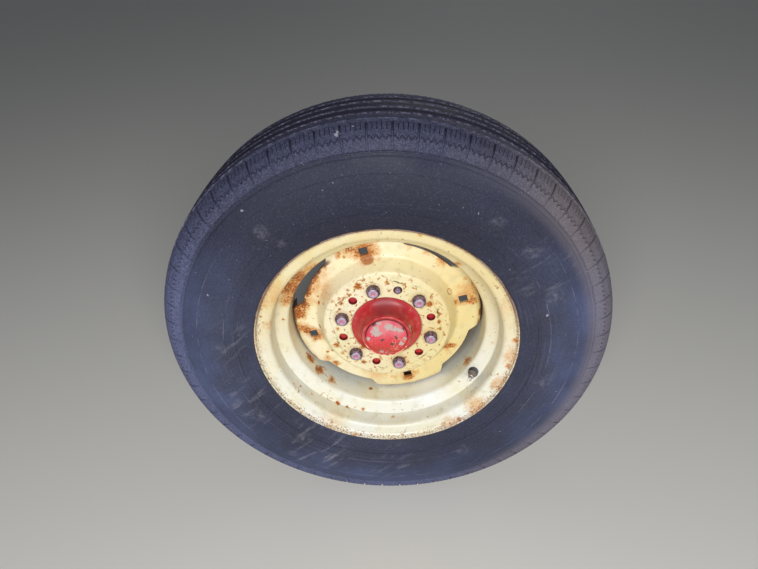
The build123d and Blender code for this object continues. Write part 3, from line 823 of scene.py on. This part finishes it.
def worn_steel(name, tones, rust, gloss, metal, coats=()):
    """Bare or plated steel, handled and lightly rusted: grey with brown in its pits."""
    at = Finish(name, Metallic=metal)
    dark, light = tones
    pits = add(at.tree, "TexNoise", {"Vector": at.spot, "Scale": per(2.2), "Detail": 5.0})
    brown = add(at.tree, "MapRange", {0: pits, 1: rust, 2: rust + 0.12, 4: 0.85}, **EASED)
    final = at.layered(dark, (at.broken(6, 0.36, 0.64), light), (brown, "6B3A22"), *at.laid(coats))
    return at.finished(final, (brown, gloss, 0.8), (pits, 0.4, 0.2))


def tarnished_bolt_steel(name):
    """Old bolt heads: brown-purple with rust on the sides, rubbed to pale steel on the face.

    A trace of the hub's red is left in the forged dimple.
    """
    at = Finish(name, Metallic=0.35)
    gap = at.from_circle(LUG_HOLES)
    small = at.from_circle((SMALL_HOLES[0], SMALL_BOLT_ANGLE, 1))
    face = at.zone((at.depth, -9.6, -10.6))
    ring = at.meeting(at.zone((gap, 8.6, 7.0)), face, at.broken(5, 0.26, 0.46))
    dimple = at.meeting(at.zone((gap, 4.6, 3.6), strength=0.85), face)
    tip = at.zone((small, 4.4, 3.4), strength=0.8)
    pits = add(at.tree, "TexNoise", {"Vector": at.spot, "Scale": per(1.8), "Detail": 5.0})
    brown = add(at.tree, "MapRange", {0: pits, 1: 0.58, 2: 0.66, 4: 0.7}, **EASED)
    sides = at.layered("3B2B2E", (at.broken(3.4, 0.36, 0.62), "8A7480"))
    final = at.layered(sides, (ring, "B7A6BE"), (dimple, "D97F92"), (tip, "9A86A2"), (brown, "5A3226"))
    return at.finished(final, (brown, 0.48, 0.8), (pits, 0.45, 0.2))


def moulded_rubber(name, dark, light, coats=()):
    """Moulded black rubber, matt with a grey bloom."""
    at = Finish(name, IOR=1.52, Specular_IOR_Level=0.5)
    bloom = at.broken(5, 0.36, 0.7)
    final = at.layered(dark, (bloom, light), *at.laid(coats))
    return at.finished(final, (bloom, 0.42, 0.62), (bloom, 0.2, 0.1))


# The tyre's shape


def arc(start, middle, end, count):
    """Points along the circle through three points, both ends included."""
    (ax, ay), (bx, by), (cx, cy) = start, middle, end
    twice = 2 * (ax * (by - cy) + bx * (cy - ay) + cx * (ay - by))
    a, b, c = ax * ax + ay * ay, bx * bx + by * by, cx * cx + cy * cy
    ux = (a * (by - cy) + b * (cy - ay) + c * (ay - by)) / twice
    uy = (a * (cx - bx) + b * (ax - cx) + c * (bx - ax)) / twice
    size = hypot(ax - ux, ay - uy)
    first, last = atan2(ay - uy, ax - ux), atan2(cy - uy, cx - ux)
    sweep = (last - first + pi) % (2 * pi) - pi
    turns = [first + sweep * i / count for i in range(count + 1)]
    return [(ux + size * cos(t), uy + size * sin(t)) for t in turns]


class TyreSection:
    """Half of the tyre's outline from the crown's middle to the rim, by distance along it."""

    def __init__(self, sizes):
        # How far the tread's edge lies below the crown, and how far the shoulder bulges
        drop, bulge = 2.0, 8.1 * cos(radians(45))
        # Steps over half the crown, down the shoulder and down the wall
        across, down, far = 40, 30, 60
        crown = (0.0, sizes.tyre_radius)
        edge = (sizes.tread_half_width, sizes.tyre_radius - drop)
        line, widest, bead = (88.5, 326.0), (101.0, 279.0), (88.2, 212.8)
        middle = ((edge[0] + line[0]) / 2 + bulge, (edge[1] + line[1]) / 2 + bulge)
        flat = arc(edge, crown, (-edge[0], edge[1]), 2 * across)[across::-1]
        shoulder = arc(edge, middle, line, down)
        wall = arc(line, widest, bead, far)
        self.points = flat + shoulder[1:] + wall[1:]
        self.lengths = [0.0]
        for one, two in zip(self.points, self.points[1:]):
            self.lengths.append(self.lengths[-1] + hypot(two[0] - one[0], two[1] - one[1]))
        self.edge = self.lengths[across]
        self.line = self.lengths[across + down]
        self.end = self.lengths[-1]

    def at(self, along, sink):
        """Half width and radius at a signed distance along, sunk below the surface."""
        far = min(abs(along), self.end)
        high = min(bisect_right(self.lengths, far), len(self.lengths) - 1)
        one, two = self.points[high - 1], self.points[high]
        share = (far - self.lengths[high - 1]) / (self.lengths[high] - self.lengths[high - 1])
        run = (two[0] - one[0], two[1] - one[1])
        size = hypot(*run)
        width = one[0] + run[0] * share + run[1] / size * sink
        radius = one[1] + run[1] * share - run[0] / size * sink
        return (width if along >= 0 else -width), radius


def zigzag(share, waves):
    """A triangle wave between -1 and 1, with a number of waves in one pitch."""
    phase = (share * waves) % 1.0
    return 4 * abs(phase - 0.5) - 1


def rib_rows(inner, outer, sipes, slant, jags, sizes):
    """Rows of one rib across the tread, from one groove's floor to the other's.

    Sipes are pairs of a share of the pitch and a depth. Their slant and the jags of the rib's
    edges are in millimetres.
    """
    columns = {0.0: 0.0, 1.0: 0.0}
    cuts = sorted(sipes)
    for cut, sink in cuts:
        half = 0.006 * sink
        columns.update({cut - half: 0.0, cut: sink, cut + half: 0.0})
    marks = [0.0] + [c for c, _ in cuts] + [1.0]
    for one, two in zip(marks, marks[1:]):
        columns[(one + two) / 2] = 0.0
    shares = sorted(columns)
    middle = (inner + outer) / 2
    deep, worn, bevel, inset = sizes.groove_depth, 0.8, 0.9, 4.0
    # Each row by its distance along, its depth, and whether it runs without jags
    stations = [(inner, deep, 0), (inner, worn, 0), (inner + bevel, 0.0, 0), (inner + inset, 0.0, 1)]
    stations += [(outer - inset, 0.0, 1), (outer - bevel, 0.0, 0), (outer, worn, 0), (outer, deep, 0)]
    rows = []
    for along, sink, plain in stations:
        side, lead = (-1, 0.0) if along < middle else (1, 0.25)
        shift = slant * (along - middle) / sizes.pitch_length
        row = []
        for share in shares:
            jag = 0.0 if plain else side * jags * zigzag(share + lead, 2)
            cut = deep if sink == deep else max(sink, columns[share])
            row.append((share + shift, along + jag, cut))
        rows.append(row)
    return rows


def shoulder_rows(inner, outer, sizes):
    """Rows of the shoulder blocks, from the zigzag groove out to the shoulder line.

    A slot parts two blocks and rises to its end. A zigzag line runs round below the sipes.
    """
    slot, low, half_sipe = 0.050, 0.036, 0.014
    deep, sipe_depth, slot_end, rise = sizes.groove_depth, 3.2, 0.9, 1.25
    edge_jag, line_jag = 1.6, 2.6
    sipes = (0.22, 0.41, 0.59, 0.78)
    shares = {0.0, low, slot, 1 - slot, 1 - low, 1.0}
    shares.update(eighth / 8 for eighth in range(1, 8))
    for sipe in sipes:
        shares.update((sipe - half_sipe, sipe, sipe + half_sipe))
    shares = sorted(shares)
    length = outer - inner

    # Each row by its share of the way out, and its depth
    stations = [(0.0, deep), (0.0, 0.9), (0.02, 0.0), (0.09, 0.0), (0.29, 0.0), (0.34, 0.0)]
    stations += [(0.54, 0.0), (0.568, 2.4), (0.592, 2.4), (0.62, 0.0), (0.84, 0.0), (0.965, 0.0)]
    rows = []
    for number, (part, sink) in enumerate(stations):
        row = []
        for share in shares:
            along = inner + length * part
            if number < 3:
                along -= edge_jag * zigzag(share, 2)
            if 6 <= number <= 9:
                along += line_jag * zigzag(share, 4)
            cut = sink
            if number and share in sipes and part < 0.3:
                cut = max(sink, sipe_depth)
            if number and not low < share < 1 - low:
                cut = max(sink, deep + (slot_end - deep) * min(1.0, part * rise))
            row.append((share, along, cut))
        rows.append(row)
    return rows


def wall_rows(section, steps):
    """Rows of a sidewall, from the shoulder line to where it meets the rim, with its rings."""
    line, spacing, slope = section.line, 6.0, 0.5

    # Two grooves below the blocks, by distance from the shoulder line and depth
    grooves = ((0.0, 1.5), (1.6, 1.5), (2.2, 0.0), (5.2, 0.0), (5.7, 0.7), (6.6, 0.7), (7.1, 0.0))
    plain = [(line + out, sink) for out, sink in grooves]

    # Raised rings, by distance from the shoulder line, breadth and height
    rings = ((28.0, 1.1, 0.45), (71.0, 1.1, 0.4), (86.0, 3.4, 0.9), (94.5, 1.2, 0.4))
    for out, breadth, height in rings:
        last, start = plain[-1][0], line + out
        gap = start - last
        count = int(gap / spacing)
        plain += [(last + gap * i / (count + 1), 0.0) for i in range(1, count + 1)]
        plain += [(start, 0.0), (start + slope, -height)]
        plain += [(start + slope + breadth, -height), (start + 2 * slope + breadth, 0.0)]
    plain += [(section.end - spacing, 0.0), (section.end, 0.0)]
    return [[(i / steps, along, sink) for i in range(steps + 1)] for along, sink in plain]


def bead_points():
    """The bead and the inside of one half, as (half width, radius)."""
    lean = 9.8 * cos(radians(45))
    curl = arc((85.7, 212.8), (85.7 - lean, 203 + lean), (75.9, 203.0), 4)
    inside = [(75.9, 195.3), (70.9, 190.3), (60.0, 189.1), (79.0, 214.0)]
    liner = arc((79.0, 214.0), (93.0, 279.0), (73.5, 328.0), 6)
    return curl + inside + liner[1:] + [(43.0, 345.5), (0.0, 345.5)]


def tyre_sector(section, sizes):
    """One pitch of the whole tyre as rows of points (share of the pitch, half width, radius)."""
    first, second, third, fourth, _ = RIB_EDGES
    sipes = ((0.3, 3.2), (0.8, 3.2))
    centre = rib_rows(-first, first, sipes, 5.0, 0.9, sizes)
    sipes = ((0.2, 3.2), (0.55, 4.5), (0.88, 3.2))
    middle_rib = rib_rows(second, third, sipes, -7.0, 0.9, sizes)
    sipes = ((0.15, 3.2), (0.5, 5.0), (0.82, 3.2))
    outer_rib = rib_rows(fourth, section.edge - 1.5, sipes, 6.0, 1.2, sizes)
    block = shoulder_rows(section.edge + 6.5, section.line, sizes)
    half = middle_rib + outer_rib + block + wall_rows(section, 5)
    outward = []
    for row in half:
        outward.append([(share, *section.at(along, sink)) for share, along, sink in row])
    middle = [[(share, *section.at(along, sink)) for share, along, sink in row] for row in centre]
    beads = [[(half / 2, width, radius) for half in range(3)] for width, radius in bead_points()]
    far = outward + beads
    near = [[(share + 0.5, -width, radius) for share, width, radius in row] for row in far[:-1]]
    return near[::-1] + middle + far


def stitched(first, one, second, two):
    """Faces between two rows of points, given with the numbers of their first points."""
    close, never = 1e-6, 9.0
    faces = []
    i = j = 0
    while i < len(one) - 1 or j < len(two) - 1:
        ahead = one[i + 1][0] - one[0][0] if i < len(one) - 1 else never
        other = two[j + 1][0] - two[0][0] if j < len(two) - 1 else never
        if abs(ahead - other) < close:
            faces.append((first + i, first + i + 1, second + j + 1, second + j))
            i, j = i + 1, j + 1
        elif ahead < other:
            faces.append((first + i, first + i + 1, second + j))
            i += 1
        else:
            faces.append((first + i, second + j + 1, second + j))
            j += 1
    return faces


def sector_mesh(name, rows, sizes):
    """A mesh of one pitch: rows of points joined up, and the last row joined to the first."""
    step = 2 * pi / sizes.pitches
    middle = FACE_Y + RIM_MIDDLE * MM
    points, marks, faces = [], [], []
    for row in rows:
        marks.append((len(points), row))
        for share, width, radius in row:
            turn = -share * step
            points.append((radius * MM * cos(turn), middle + width * MM, -radius * MM * sin(turn)))
    for one, two in zip(marks, marks[1:] + marks[:1]):
        faces += stitched(*one, *two)
    return mesh_object(name, points, faces)


# Bolts, valve and welds


def hexagon(apothem, corner, vertex, steps):
    """Radii of a worn hexagon, one for each step round it, with a vertex at an angle."""
    turns = [(360 * step / steps - vertex) % 60 - 30 for step in range(steps)]
    return [min(apothem / cos(radians(turn)), corner) for turn in turns]


def lug_bolt(name):
    """The first lug bolt: shank with its thread, cone seat, and a chamfered head with a dimple."""
    circle, angle, _ = LUG_HOLES
    low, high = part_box("lug_bolt_1")
    head = (FACE_Y - low.y) / MM
    tail = (high.y - FACE_Y) / MM
    centre = place(circle, angle, 0)
    steps, face, slope = 72, 7.2, tan(radians(42.0))
    hexed = hexagon(apothem=10.3, corner=11.65, vertex=angle, steps=steps)
    shank = [(5.2, tail), (5.9, tail - 0.8)] + threads(6.35, 5.75, tail - 0.9, tail - 12.9, 1.5)
    shank += [(6.35, 3.8), (7.1, 3.75), (10.85, 0.02)]
    rows = [([radius] * steps, [depth] * steps) for radius, depth in shank]
    chamfer = [-(head - (radius - face) * slope) for radius in hexed]
    rows.append((hexed, [0.0] * steps))
    rows.append((hexed, [depth + 0.25 for depth in chamfer]))
    rows.append(([radius - 0.3 for radius in hexed], [depth - 0.15 for depth in chamfer]))
    crown = [(face + 0.5, 0.55), (face - 0.1, 0.12), (face - 0.7, 0.0)]
    crown += [(4.0, 0.0), (3.5, 0.35), (2.6, 0.7), (0.6, 0.8)]
    rows += [([radius] * steps, [sunk - head] * steps) for radius, sunk in crown]
    rings = []
    for radii, depths in rows:
        ring = []
        for step, (radius, depth) in enumerate(zip(radii, depths)):
            turn = 2 * pi * step / steps
            ring.append(centre + Vector((radius * cos(turn), depth, radius * sin(turn))) * MM)
        rings.append(ring)
    return skinned(name, rings, sharp=28.0)


def small_bolt(name):
    """The end of the small bolt: a chamfered tip with a centre mark and its thread."""
    low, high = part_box("small_bolt")
    circle = SMALL_HOLES[0]
    tip = (FACE_Y - low.y) / MM
    tail = (FACE_Y - high.y) / MM
    profile = [(0.3, tip - 0.9), (1.5, tip - 0.2), (2.0, tip), (4.3, tip), (5.0, tip - 0.7)]
    profile += threads(5.5, 5.0, tip - 1.0, tail + 2.0, 1.25)
    profile += [(5.5, tail + 1.6), (5.5, tail + 0.5), (5.0, tail)]
    middle = place(circle, SMALL_BOLT_ANGLE, 0)
    return skinned(name, lathe_rings(profile, 40, middle, Vector((0, -1, 0))), sharp=28.0)


def valve_line():
    """The foot of the valve on the rim and its direction, from the mount at its metal end."""
    mount = next(m for m in frame["record"]["mounts"] if m["name"] == "valve_end")
    axis = Vector(mount["axis"]).normalized()
    rubber, metal = 21.0, mount["dims"]["length_mm"]
    return Vector(mount["pos_m"]) - axis * (rubber + metal / 2) * MM, axis


def valve_body(name):
    """The valve's rubber: button behind the rim, collar, grooved bulge and tapering stem."""
    profile = [(2.9, -6.1), (6.6, -6.1), (7.0, -5.7), (7.0, -3.6), (6.6, -3.2), (5.65, -3.1)]
    profile += [(5.65, 0.2), (8.3, 0.2), (8.75, 0.7), (8.75, 2.9), (8.3, 3.4), (7.3, 3.6)]
    profile += [(7.3, 4.6), (8.3, 4.8), (8.7, 5.3), (8.6, 6.6), (7.9, 7.4), (7.0, 7.6), (6.9, 8.6)]
    profile += [(7.5, 9.0), (7.2, 10.2), (6.4, 11.6), (5.9, 14.0), (5.6, 16.0), (5.4, 18.0)]
    profile += [(4.85, 20.2), (4.4, 20.9), (3.05, 20.9)]
    foot, axis = valve_line()
    return skinned(name, lathe_rings(profile, 48, foot, axis), sharp=40.0)


def valve_tip(name):
    """The valve's bare metal end, threaded, with its core and pin."""
    profile = [(2.9, 17.1), (2.95, 20.9), (3.4, 21.0), (3.85, 21.4), (3.85, 22.6)]
    profile += threads(3.85, 3.4, 22.8, 30.4, 0.8)
    profile += [(3.5, 31.0), (3.1, 31.9), (2.5, 31.9), (2.3, 31.5), (2.3, 30.2), (0.9, 30.2)]
    profile += [(0.8, 31.4), (0.3, 31.6)]
    foot, axis = valve_line()
    return skinned(name, lathe_rings(profile, 32, foot, axis), sharp=30.0)


def weld_bead(name):
    """The weld behind one lobe, laid in ripples between its flange and the well."""
    radius, depth, thick, half_turn, count, sides = 161.4, 64.4, 2.2, 14.0, 80, 10
    turns = [2 * pi * side / sides for side in range(sides)]
    rings = []
    for step in range(count + 1):
        angle = SQUARE_HOLES[1] - half_turn + 2 * half_turn * step / count
        ends = min(1.0, 0.35 + min(step, count - step) * 0.2)
        size = thick * ends * (1.0 + 0.12 * abs(sin(step * pi / 2.5)))
        rings.append([place(radius + size * cos(t), angle, depth + size * sin(t)) for t in turns])
    return skinned(name, rings, sharp=60.0)


# Settings


def millimetres(name, description, value):
    """A size that a user may change."""
    return FloatProperty(name=name, description=description + ", mm", default=value)


def degrees(name, description, value):
    """An angle that a user may change."""
    return FloatProperty(name=name, description=description, default=radians(value), subtype="ANGLE")


def shade(name, description, text):
    """A colour that a user may change."""
    look = {"default": colour(text), "subtype": "COLOR", "size": 4, "min": 0.0, "max": 1.0}
    return FloatVectorProperty(name=name, description=description, **look)


class WagonWheelTyre(bpy.types.PropertyGroup):
    """Sizes of the tyre's tread."""

    tyre_radius: millimetres("Tyre radius", "Radius at the crown", 362.5)
    tread_half_width: millimetres("Tread half width", "Half width of the flat tread", 58.0)
    groove_depth: millimetres("Groove depth", "Depth of the main grooves", 6.0)
    pitch_length: millimetres("Pitch length", "Length of one pitch", 35.6)
    pitches: IntProperty(name="Pitches", description="Shoulder blocks around the tyre", default=64)


class WagonWheelFinish(bpy.types.PropertyGroup):
    """Colours of the enamel and the rubber."""

    # The rim's bottom cream is painted sky light and its top cream is painted warm bounce light
    rim_sky_lit_bottom: shade("Rim, bleached", "Cream at the bottom of the rim", "E8E8DC")
    rim_bounce_lit_top: shade("Rim, yellowed", "Cream at the top of the rim", "DCC994")
    rim_cloud: shade("Rim, clouds", "Cream in clouds over the rim", "E8E0BC")
    disc_pale: shade("Disc, pale", "Cream at the left of the disc", "EBE1C0")
    disc_deep: shade("Disc, yellowed", "Cream at the right of the disc", "E0CC90")
    disc_cloud: shade("Disc, clouds", "Cream in clouds over the disc", "E3D9A6")
    hub_top: shade("Hub, top", "Red of the hub, upper side", "B3272E")
    hub_low: shade("Hub, bottom", "Red of the hub, lower side", "BC3A34")
    cap_top: shade("Cap, top", "Red of the dust cap, upper side", "DE3C5C")
    cap_low: shade("Cap, bottom", "Red of the dust cap, lower side", "CF3434")
    # The blue in the rubber and its bloom is painted sky light
    rubber: shade("Rubber", "Tyre rubber", "3B425E")
    bloom: shade("Bloom", "Pale bloom on the tyre rubber", "4C5576")
    rubbed: shade("Rubbed", "Rubber rubbed brown", "3A3740")
    # The darker tread rubber on the crown is painted shade
    tread: shade("Tread", "Rubber of the tread", "262438")


class WagonWheelStage(bpy.types.PropertyGroup):
    """The camera, floor and lights."""

    camera_place: FloatVectorProperty(
        name="Camera place",
        description="Place of the camera from the middle of the disc's face",
        default=(0.02562, -0.80515, 0.60457),
        unit="LENGTH",
    )
    camera_yaw: degrees("Yaw", "Turn of the camera to the left", 2.538)
    camera_pitch: degrees("Pitch", "Tilt of the camera down", 32.803)
    camera_roll: degrees("Roll", "Roll of the camera", -2.236)
    camera_lens: millimetres("Lens", "Focal length", 28.532)
    floor_tint: shade("Floor", "Colour of the floor", "E6E4DE")
    sky_strength: FloatProperty(name="Surround", description="Strength of the even light", default=0.11)


# Operators


class WAGON_OT_stage(bpy.types.Operator):
    """Make the floor, the lights and the camera"""

    bl_idname = "wagon.make_stage"
    bl_label = "Stage"

    def execute(self, context):
        stage = context.scene.wagon_stage
        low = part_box("tyre")[0].z - 0.5 * MM
        far = 30.0
        corners = [(-far, -far, low), (far, -far, low), (far, far, low), (-far, far, low)]
        floor = mesh_object("floor", corners, [(0, 1, 2, 3)])
        material, _, _ = blank("pale_studio_floor", Base_Color=tuple(stage.floor_tint), Roughness=0.85)
        floor.data.materials.append(material)

        # Kind, place, aim, size (m, or radians for a sun) and power (W, or W/m2) of the soft
        # lights. The sun behind stands so low that it hardly lights the floor.
        lights = (
            ("key", "AREA", (-0.5, -2.6, 1.3), (0.0, -0.2, 0.0), 0.9, 36.0),
            ("fill", "AREA", (0.62, -2.55, 1.2), (0.0, -0.2, 0.0), 0.9, 38.5),
            ("back", "SUN", (0.5, 3.0, 0.24), (0.0, 0.0, 0.0), radians(25), 0.5),
        )
        for name, kind, spot, aim, size, power in lights:
            lamp = bpy.data.lights.new(name, kind)
            if kind == "AREA":
                lamp.shape = "DISK"
                lamp.size = size
            else:
                lamp.angle = size
            lamp.energy = power
            holder = bpy.data.objects.new(name, lamp)
            way = Vector(spot) - Vector(aim)
            turn = way.to_track_quat("Z", "Y").to_matrix().to_4x4()
            holder.matrix_world = Matrix.Translation(spot) @ turn
            context.scene.collection.objects.link(holder)
        world = bpy.data.worlds.new("studio")
        world.use_nodes = True
        world.node_tree.nodes.clear()
        even = {"Color": colour("DDE3EC"), "Strength": stage.sky_strength}
        sky = add(world.node_tree, "Background", even)
        add(world.node_tree, "OutputWorld", {"Surface": sky})
        context.scene.world = world

        camera = bpy.data.cameras.new("camera")
        camera.sensor_fit = "HORIZONTAL"
        camera.sensor_width = 36.0
        camera.lens = stage.camera_lens
        holder = bpy.data.objects.new("camera", camera)
        yaw, pitch, roll = stage.camera_yaw, stage.camera_pitch, stage.camera_roll
        level = Vector((cos(yaw), sin(yaw), 0))
        ahead = Vector((-sin(yaw) * cos(pitch), cos(yaw) * cos(pitch), -sin(pitch)))
        upright = level.cross(ahead)
        right = level * cos(roll) + upright * sin(roll)
        up = upright * cos(roll) - level * sin(roll)
        turn = Matrix((right, up, -ahead)).transposed().to_4x4()
        spot = Vector(stage.camera_place) + Vector((0, FACE_Y, 0))
        holder.matrix_world = Matrix.Translation(spot) @ turn
        context.scene.collection.objects.link(holder)
        context.scene.camera = holder
        context.scene.view_settings.view_transform = "Standard"
        return {"FINISHED"}


class WAGON_OT_tyre(bpy.types.Operator):
    """Make the tyre with its tread, and its rubber"""

    bl_idname = "wagon.make_tyre"
    bl_label = "Tyre"

    def execute(self, context):
        sizes = context.scene.wagon_tyre
        rubber = weathered_rubber("weathered_tyre_rubber", context.scene.wagon_finish)
        tyre = sector_mesh("tyre_with_tread", tyre_sector(TyreSection(sizes), sizes), sizes)
        repeat_about_axis(tyre, sizes.pitches, rubber)
        close_up(tyre, sharp=32.0)
        dress(tyre, rubber, "tyre_rubber", "tyre")
        return {"FINISHED"}


class WAGON_OT_rim_and_disc(bpy.types.Operator):
    """Finish the rim and the disc, and make the welds between them"""

    bl_idname = "wagon.make_rim_and_disc"
    bl_label = "Rim and disc"

    def execute(self, context):
        look = context.scene.wagon_finish
        rim_paint = rusted_enamel(
            "yellowed_enamel_rim",
            # The rim's two tones and their grade from bottom to top are painted light
            tones=(look.rim_sky_lit_bottom, look.rim_bounce_lit_top, look.rim_cloud),
            yellowing_and_light_grade=((0, 0, 1), -120, 120),
            gloss=0.34,
            spots=RIM_SPOTS,
            marks=RIM_MARKS,
            fields=(flange_specks,),
            coats=(
                # Painted light that whitens the paint beside the valve
                (painted_light_patch, "F4F8FA"),
                (rim_cracks, "A2622A"),
                # Grime and painted shade in the rim's creases
                (seat_crease_grime_and_shade, "9C9470"),
                (lip_band, "6A4A48"),
                (lip_line, "2E1D1B"),
                # Painted highlight on the lip's edge
                (lip_painted_glint, "BBA49A"),
                (well_dust_and_shade, "8C7F62"),
                # Dust and painted shade in the well behind the lobes
                (rear_dirt, "6E5C46"),
            ),
        )
        disc_paint = rusted_enamel(
            "yellowed_enamel_disc",
            tones=(look.disc_pale, look.disc_deep, look.disc_cloud),
            yellowing_and_light_grade=((0.94, 0, -0.34), -60, 120),
            gloss=0.36,
            spots=DISC_SPOTS,
            marks=DISC_MARKS,
            fields=(),
            coats=(
                (bolt_stains, "C79A50"),
                (square_hole_rims, "B9742F"),
                (edge_rust, "A0622C"),
                # Rust and painted shade along the upper left flat's edge
                (flat_rust_and_shade, "6A3A1A"),
                (pad_cracks, "B0712E"),
                # Cracked paint and painted shade on the hexagon's creases
                (hexagon_cracks_and_shade, "5A4A22"),
                (round_imprint, "A4673F"),
                (ring_mark, "A8683A"),
                # Sheared edges, and rust and painted shade in the lobes' crevice
                (sheared_edge_and_crevice_shade, "552510"),
                (small_hole_walls, "7A161C"),
            ),
        )
        paint_node("wheel_rim", rim_paint)
        paint_node("wheel_disc", disc_paint)
        welds = repeat_about_axis(weld_bead("lobe_welds"), SQUARE_HOLES[2], disc_paint)
        dress(welds, disc_paint, "wheel_paint")
        return {"FINISHED"}


class WAGON_OT_hub(bpy.types.Operator):
    """Finish the hub, cap, seal and spindle"""

    bl_idname = "wagon.make_hub"
    bl_label = "Hub and spindle"

    def execute(self, context):
        look = context.scene.wagon_finish
        hub_coats = (
            # Painted dark reflection on the top of the bell
            (bell_painted_reflection, "5E2A30"),
            (nose_edge, "E8837E"),
            (nose_rub, "EDB795"),
            (bell_scrape, "B5A79E"),
            (collar_dirt, "5A3A22"),
            (hub_rear, "4E3A30"),
            (cap_gap, "3A1518"),
        )
        cap_coats = (
            (cap_fade, "D98A8C"),
            (cap_dirt, "8C4A34"),
            (cap_flecks, "E2A184"),
            (cap_scuffs, "B9ADA6"),
            (cap_chips, "5A4038"),
            (cap_gap, "3A1518"),
        )
        hub_tones = (look.hub_top, look.hub_low)
        cap_tones = (look.cap_top, look.cap_low)
        axle = worn_steel("turned_axle_steel", ("6A625C", "8C857E"), rust=0.56, gloss=0.4, metal=0.8)
        paint_node("hub", scuffed_red("red_enamel_cast_hub", hub_tones, 0.24, hub_coats))
        paint_node("dust_cap", scuffed_red("faded_red_enamel_cap", cap_tones, 0.4, cap_coats))
        paint_node("grease_seal", moulded_rubber("greasy_seal_rubber", "17171B", "2E2A26"))
        paint_node("spindle", axle)
        return {"FINISHED"}


class WAGON_OT_bolts(bpy.types.Operator):
    """Make the lug bolts and the small bolt"""

    bl_idname = "wagon.make_bolts"
    bl_label = "Bolts"

    def execute(self, context):
        steel = tarnished_bolt_steel("tarnished_bolt_steel")
        count = LUG_HOLES[2]
        lugs = repeat_about_axis(lug_bolt("lug_bolts"), count, steel)
        dress(lugs, steel, "bolt_steel", *[f"lug_bolt_{number + 1}" for number in range(count)])
        dress(small_bolt("small_bolt_end"), steel, "bolt_steel", "small_bolt")
        return {"FINISHED"}


class WAGON_OT_valve(bpy.types.Operator):
    """Make the valve"""

    bl_idname = "wagon.make_valve"
    bl_label = "Valve"

    def execute(self, context):
        # Painted shade in the valve's grooves, and dust on its taper
        rubber_shade_and_dust = ((valve_groove_shade, "0E0D11"), (valve_dust, "958A82"))
        rubber = moulded_rubber("moulded_valve_rubber", "2C2932", "6E6870", rubber_shade_and_dust)
        # Thread dirt, and painted shade round the valve's end
        plated = {"rust": 0.66, "gloss": 0.25, "metal": 0.55, "coats": ((thread_dirt_and_end_shade, "4A4638"),)}
        brass = worn_steel("nickelled_valve_brass", ("DDDAD2", "F6F4EE"), **plated)
        dress(valve_body("valve_rubber_stem"), rubber, "valve_rubber", "valve_stem")
        dress(valve_tip("valve_threaded_end"), brass, "valve_metal", "valve_end")
        return {"FINISHED"}


class WAGON_PT_wheel(bpy.types.Panel):
    """Panel with the wheel's pieces and settings"""

    bl_idname = "WAGON_PT_wheel"
    bl_label = "Wagon Wheel"
    bl_space_type = "VIEW_3D"
    bl_region_type = "UI"
    bl_category = "Wagon Wheel"

    def draw(self, context):
        scene = context.scene
        for group in (scene.wagon_tyre, scene.wagon_finish, scene.wagon_stage):
            box = self.layout.box()
            for name in group.__annotations__:
                box.prop(group, name)
        for maker in MAKERS:
            self.layout.operator(maker.bl_idname)


MAKERS = (
    WAGON_OT_stage,
    WAGON_OT_tyre,
    WAGON_OT_rim_and_disc,
    WAGON_OT_hub,
    WAGON_OT_bolts,
    WAGON_OT_valve,
)
GROUPS = {
    "wagon_tyre": WagonWheelTyre,
    "wagon_finish": WagonWheelFinish,
    "wagon_stage": WagonWheelStage,
}
CLASSES = (*GROUPS.values(), *MAKERS, WAGON_PT_wheel)


def register():
    """Registers the classes and the settings."""
    for item in CLASSES:
        bpy.utils.register_class(item)
    for name, group in GROUPS.items():
        setattr(bpy.types.Scene, name, PointerProperty(type=group))


def unregister():
    """Removes the settings and the classes."""
    for name in GROUPS:
        delattr(bpy.types.Scene, name)
    for item in reversed(CLASSES):
        bpy.utils.unregister_class(item)


def main():
    """Makes every piece."""
    register()
    for maker in MAKERS:
        group, action = maker.bl_idname.split(".")
        getattr(getattr(bpy.ops, group), action)()


if __name__ == "__main__":
    main()
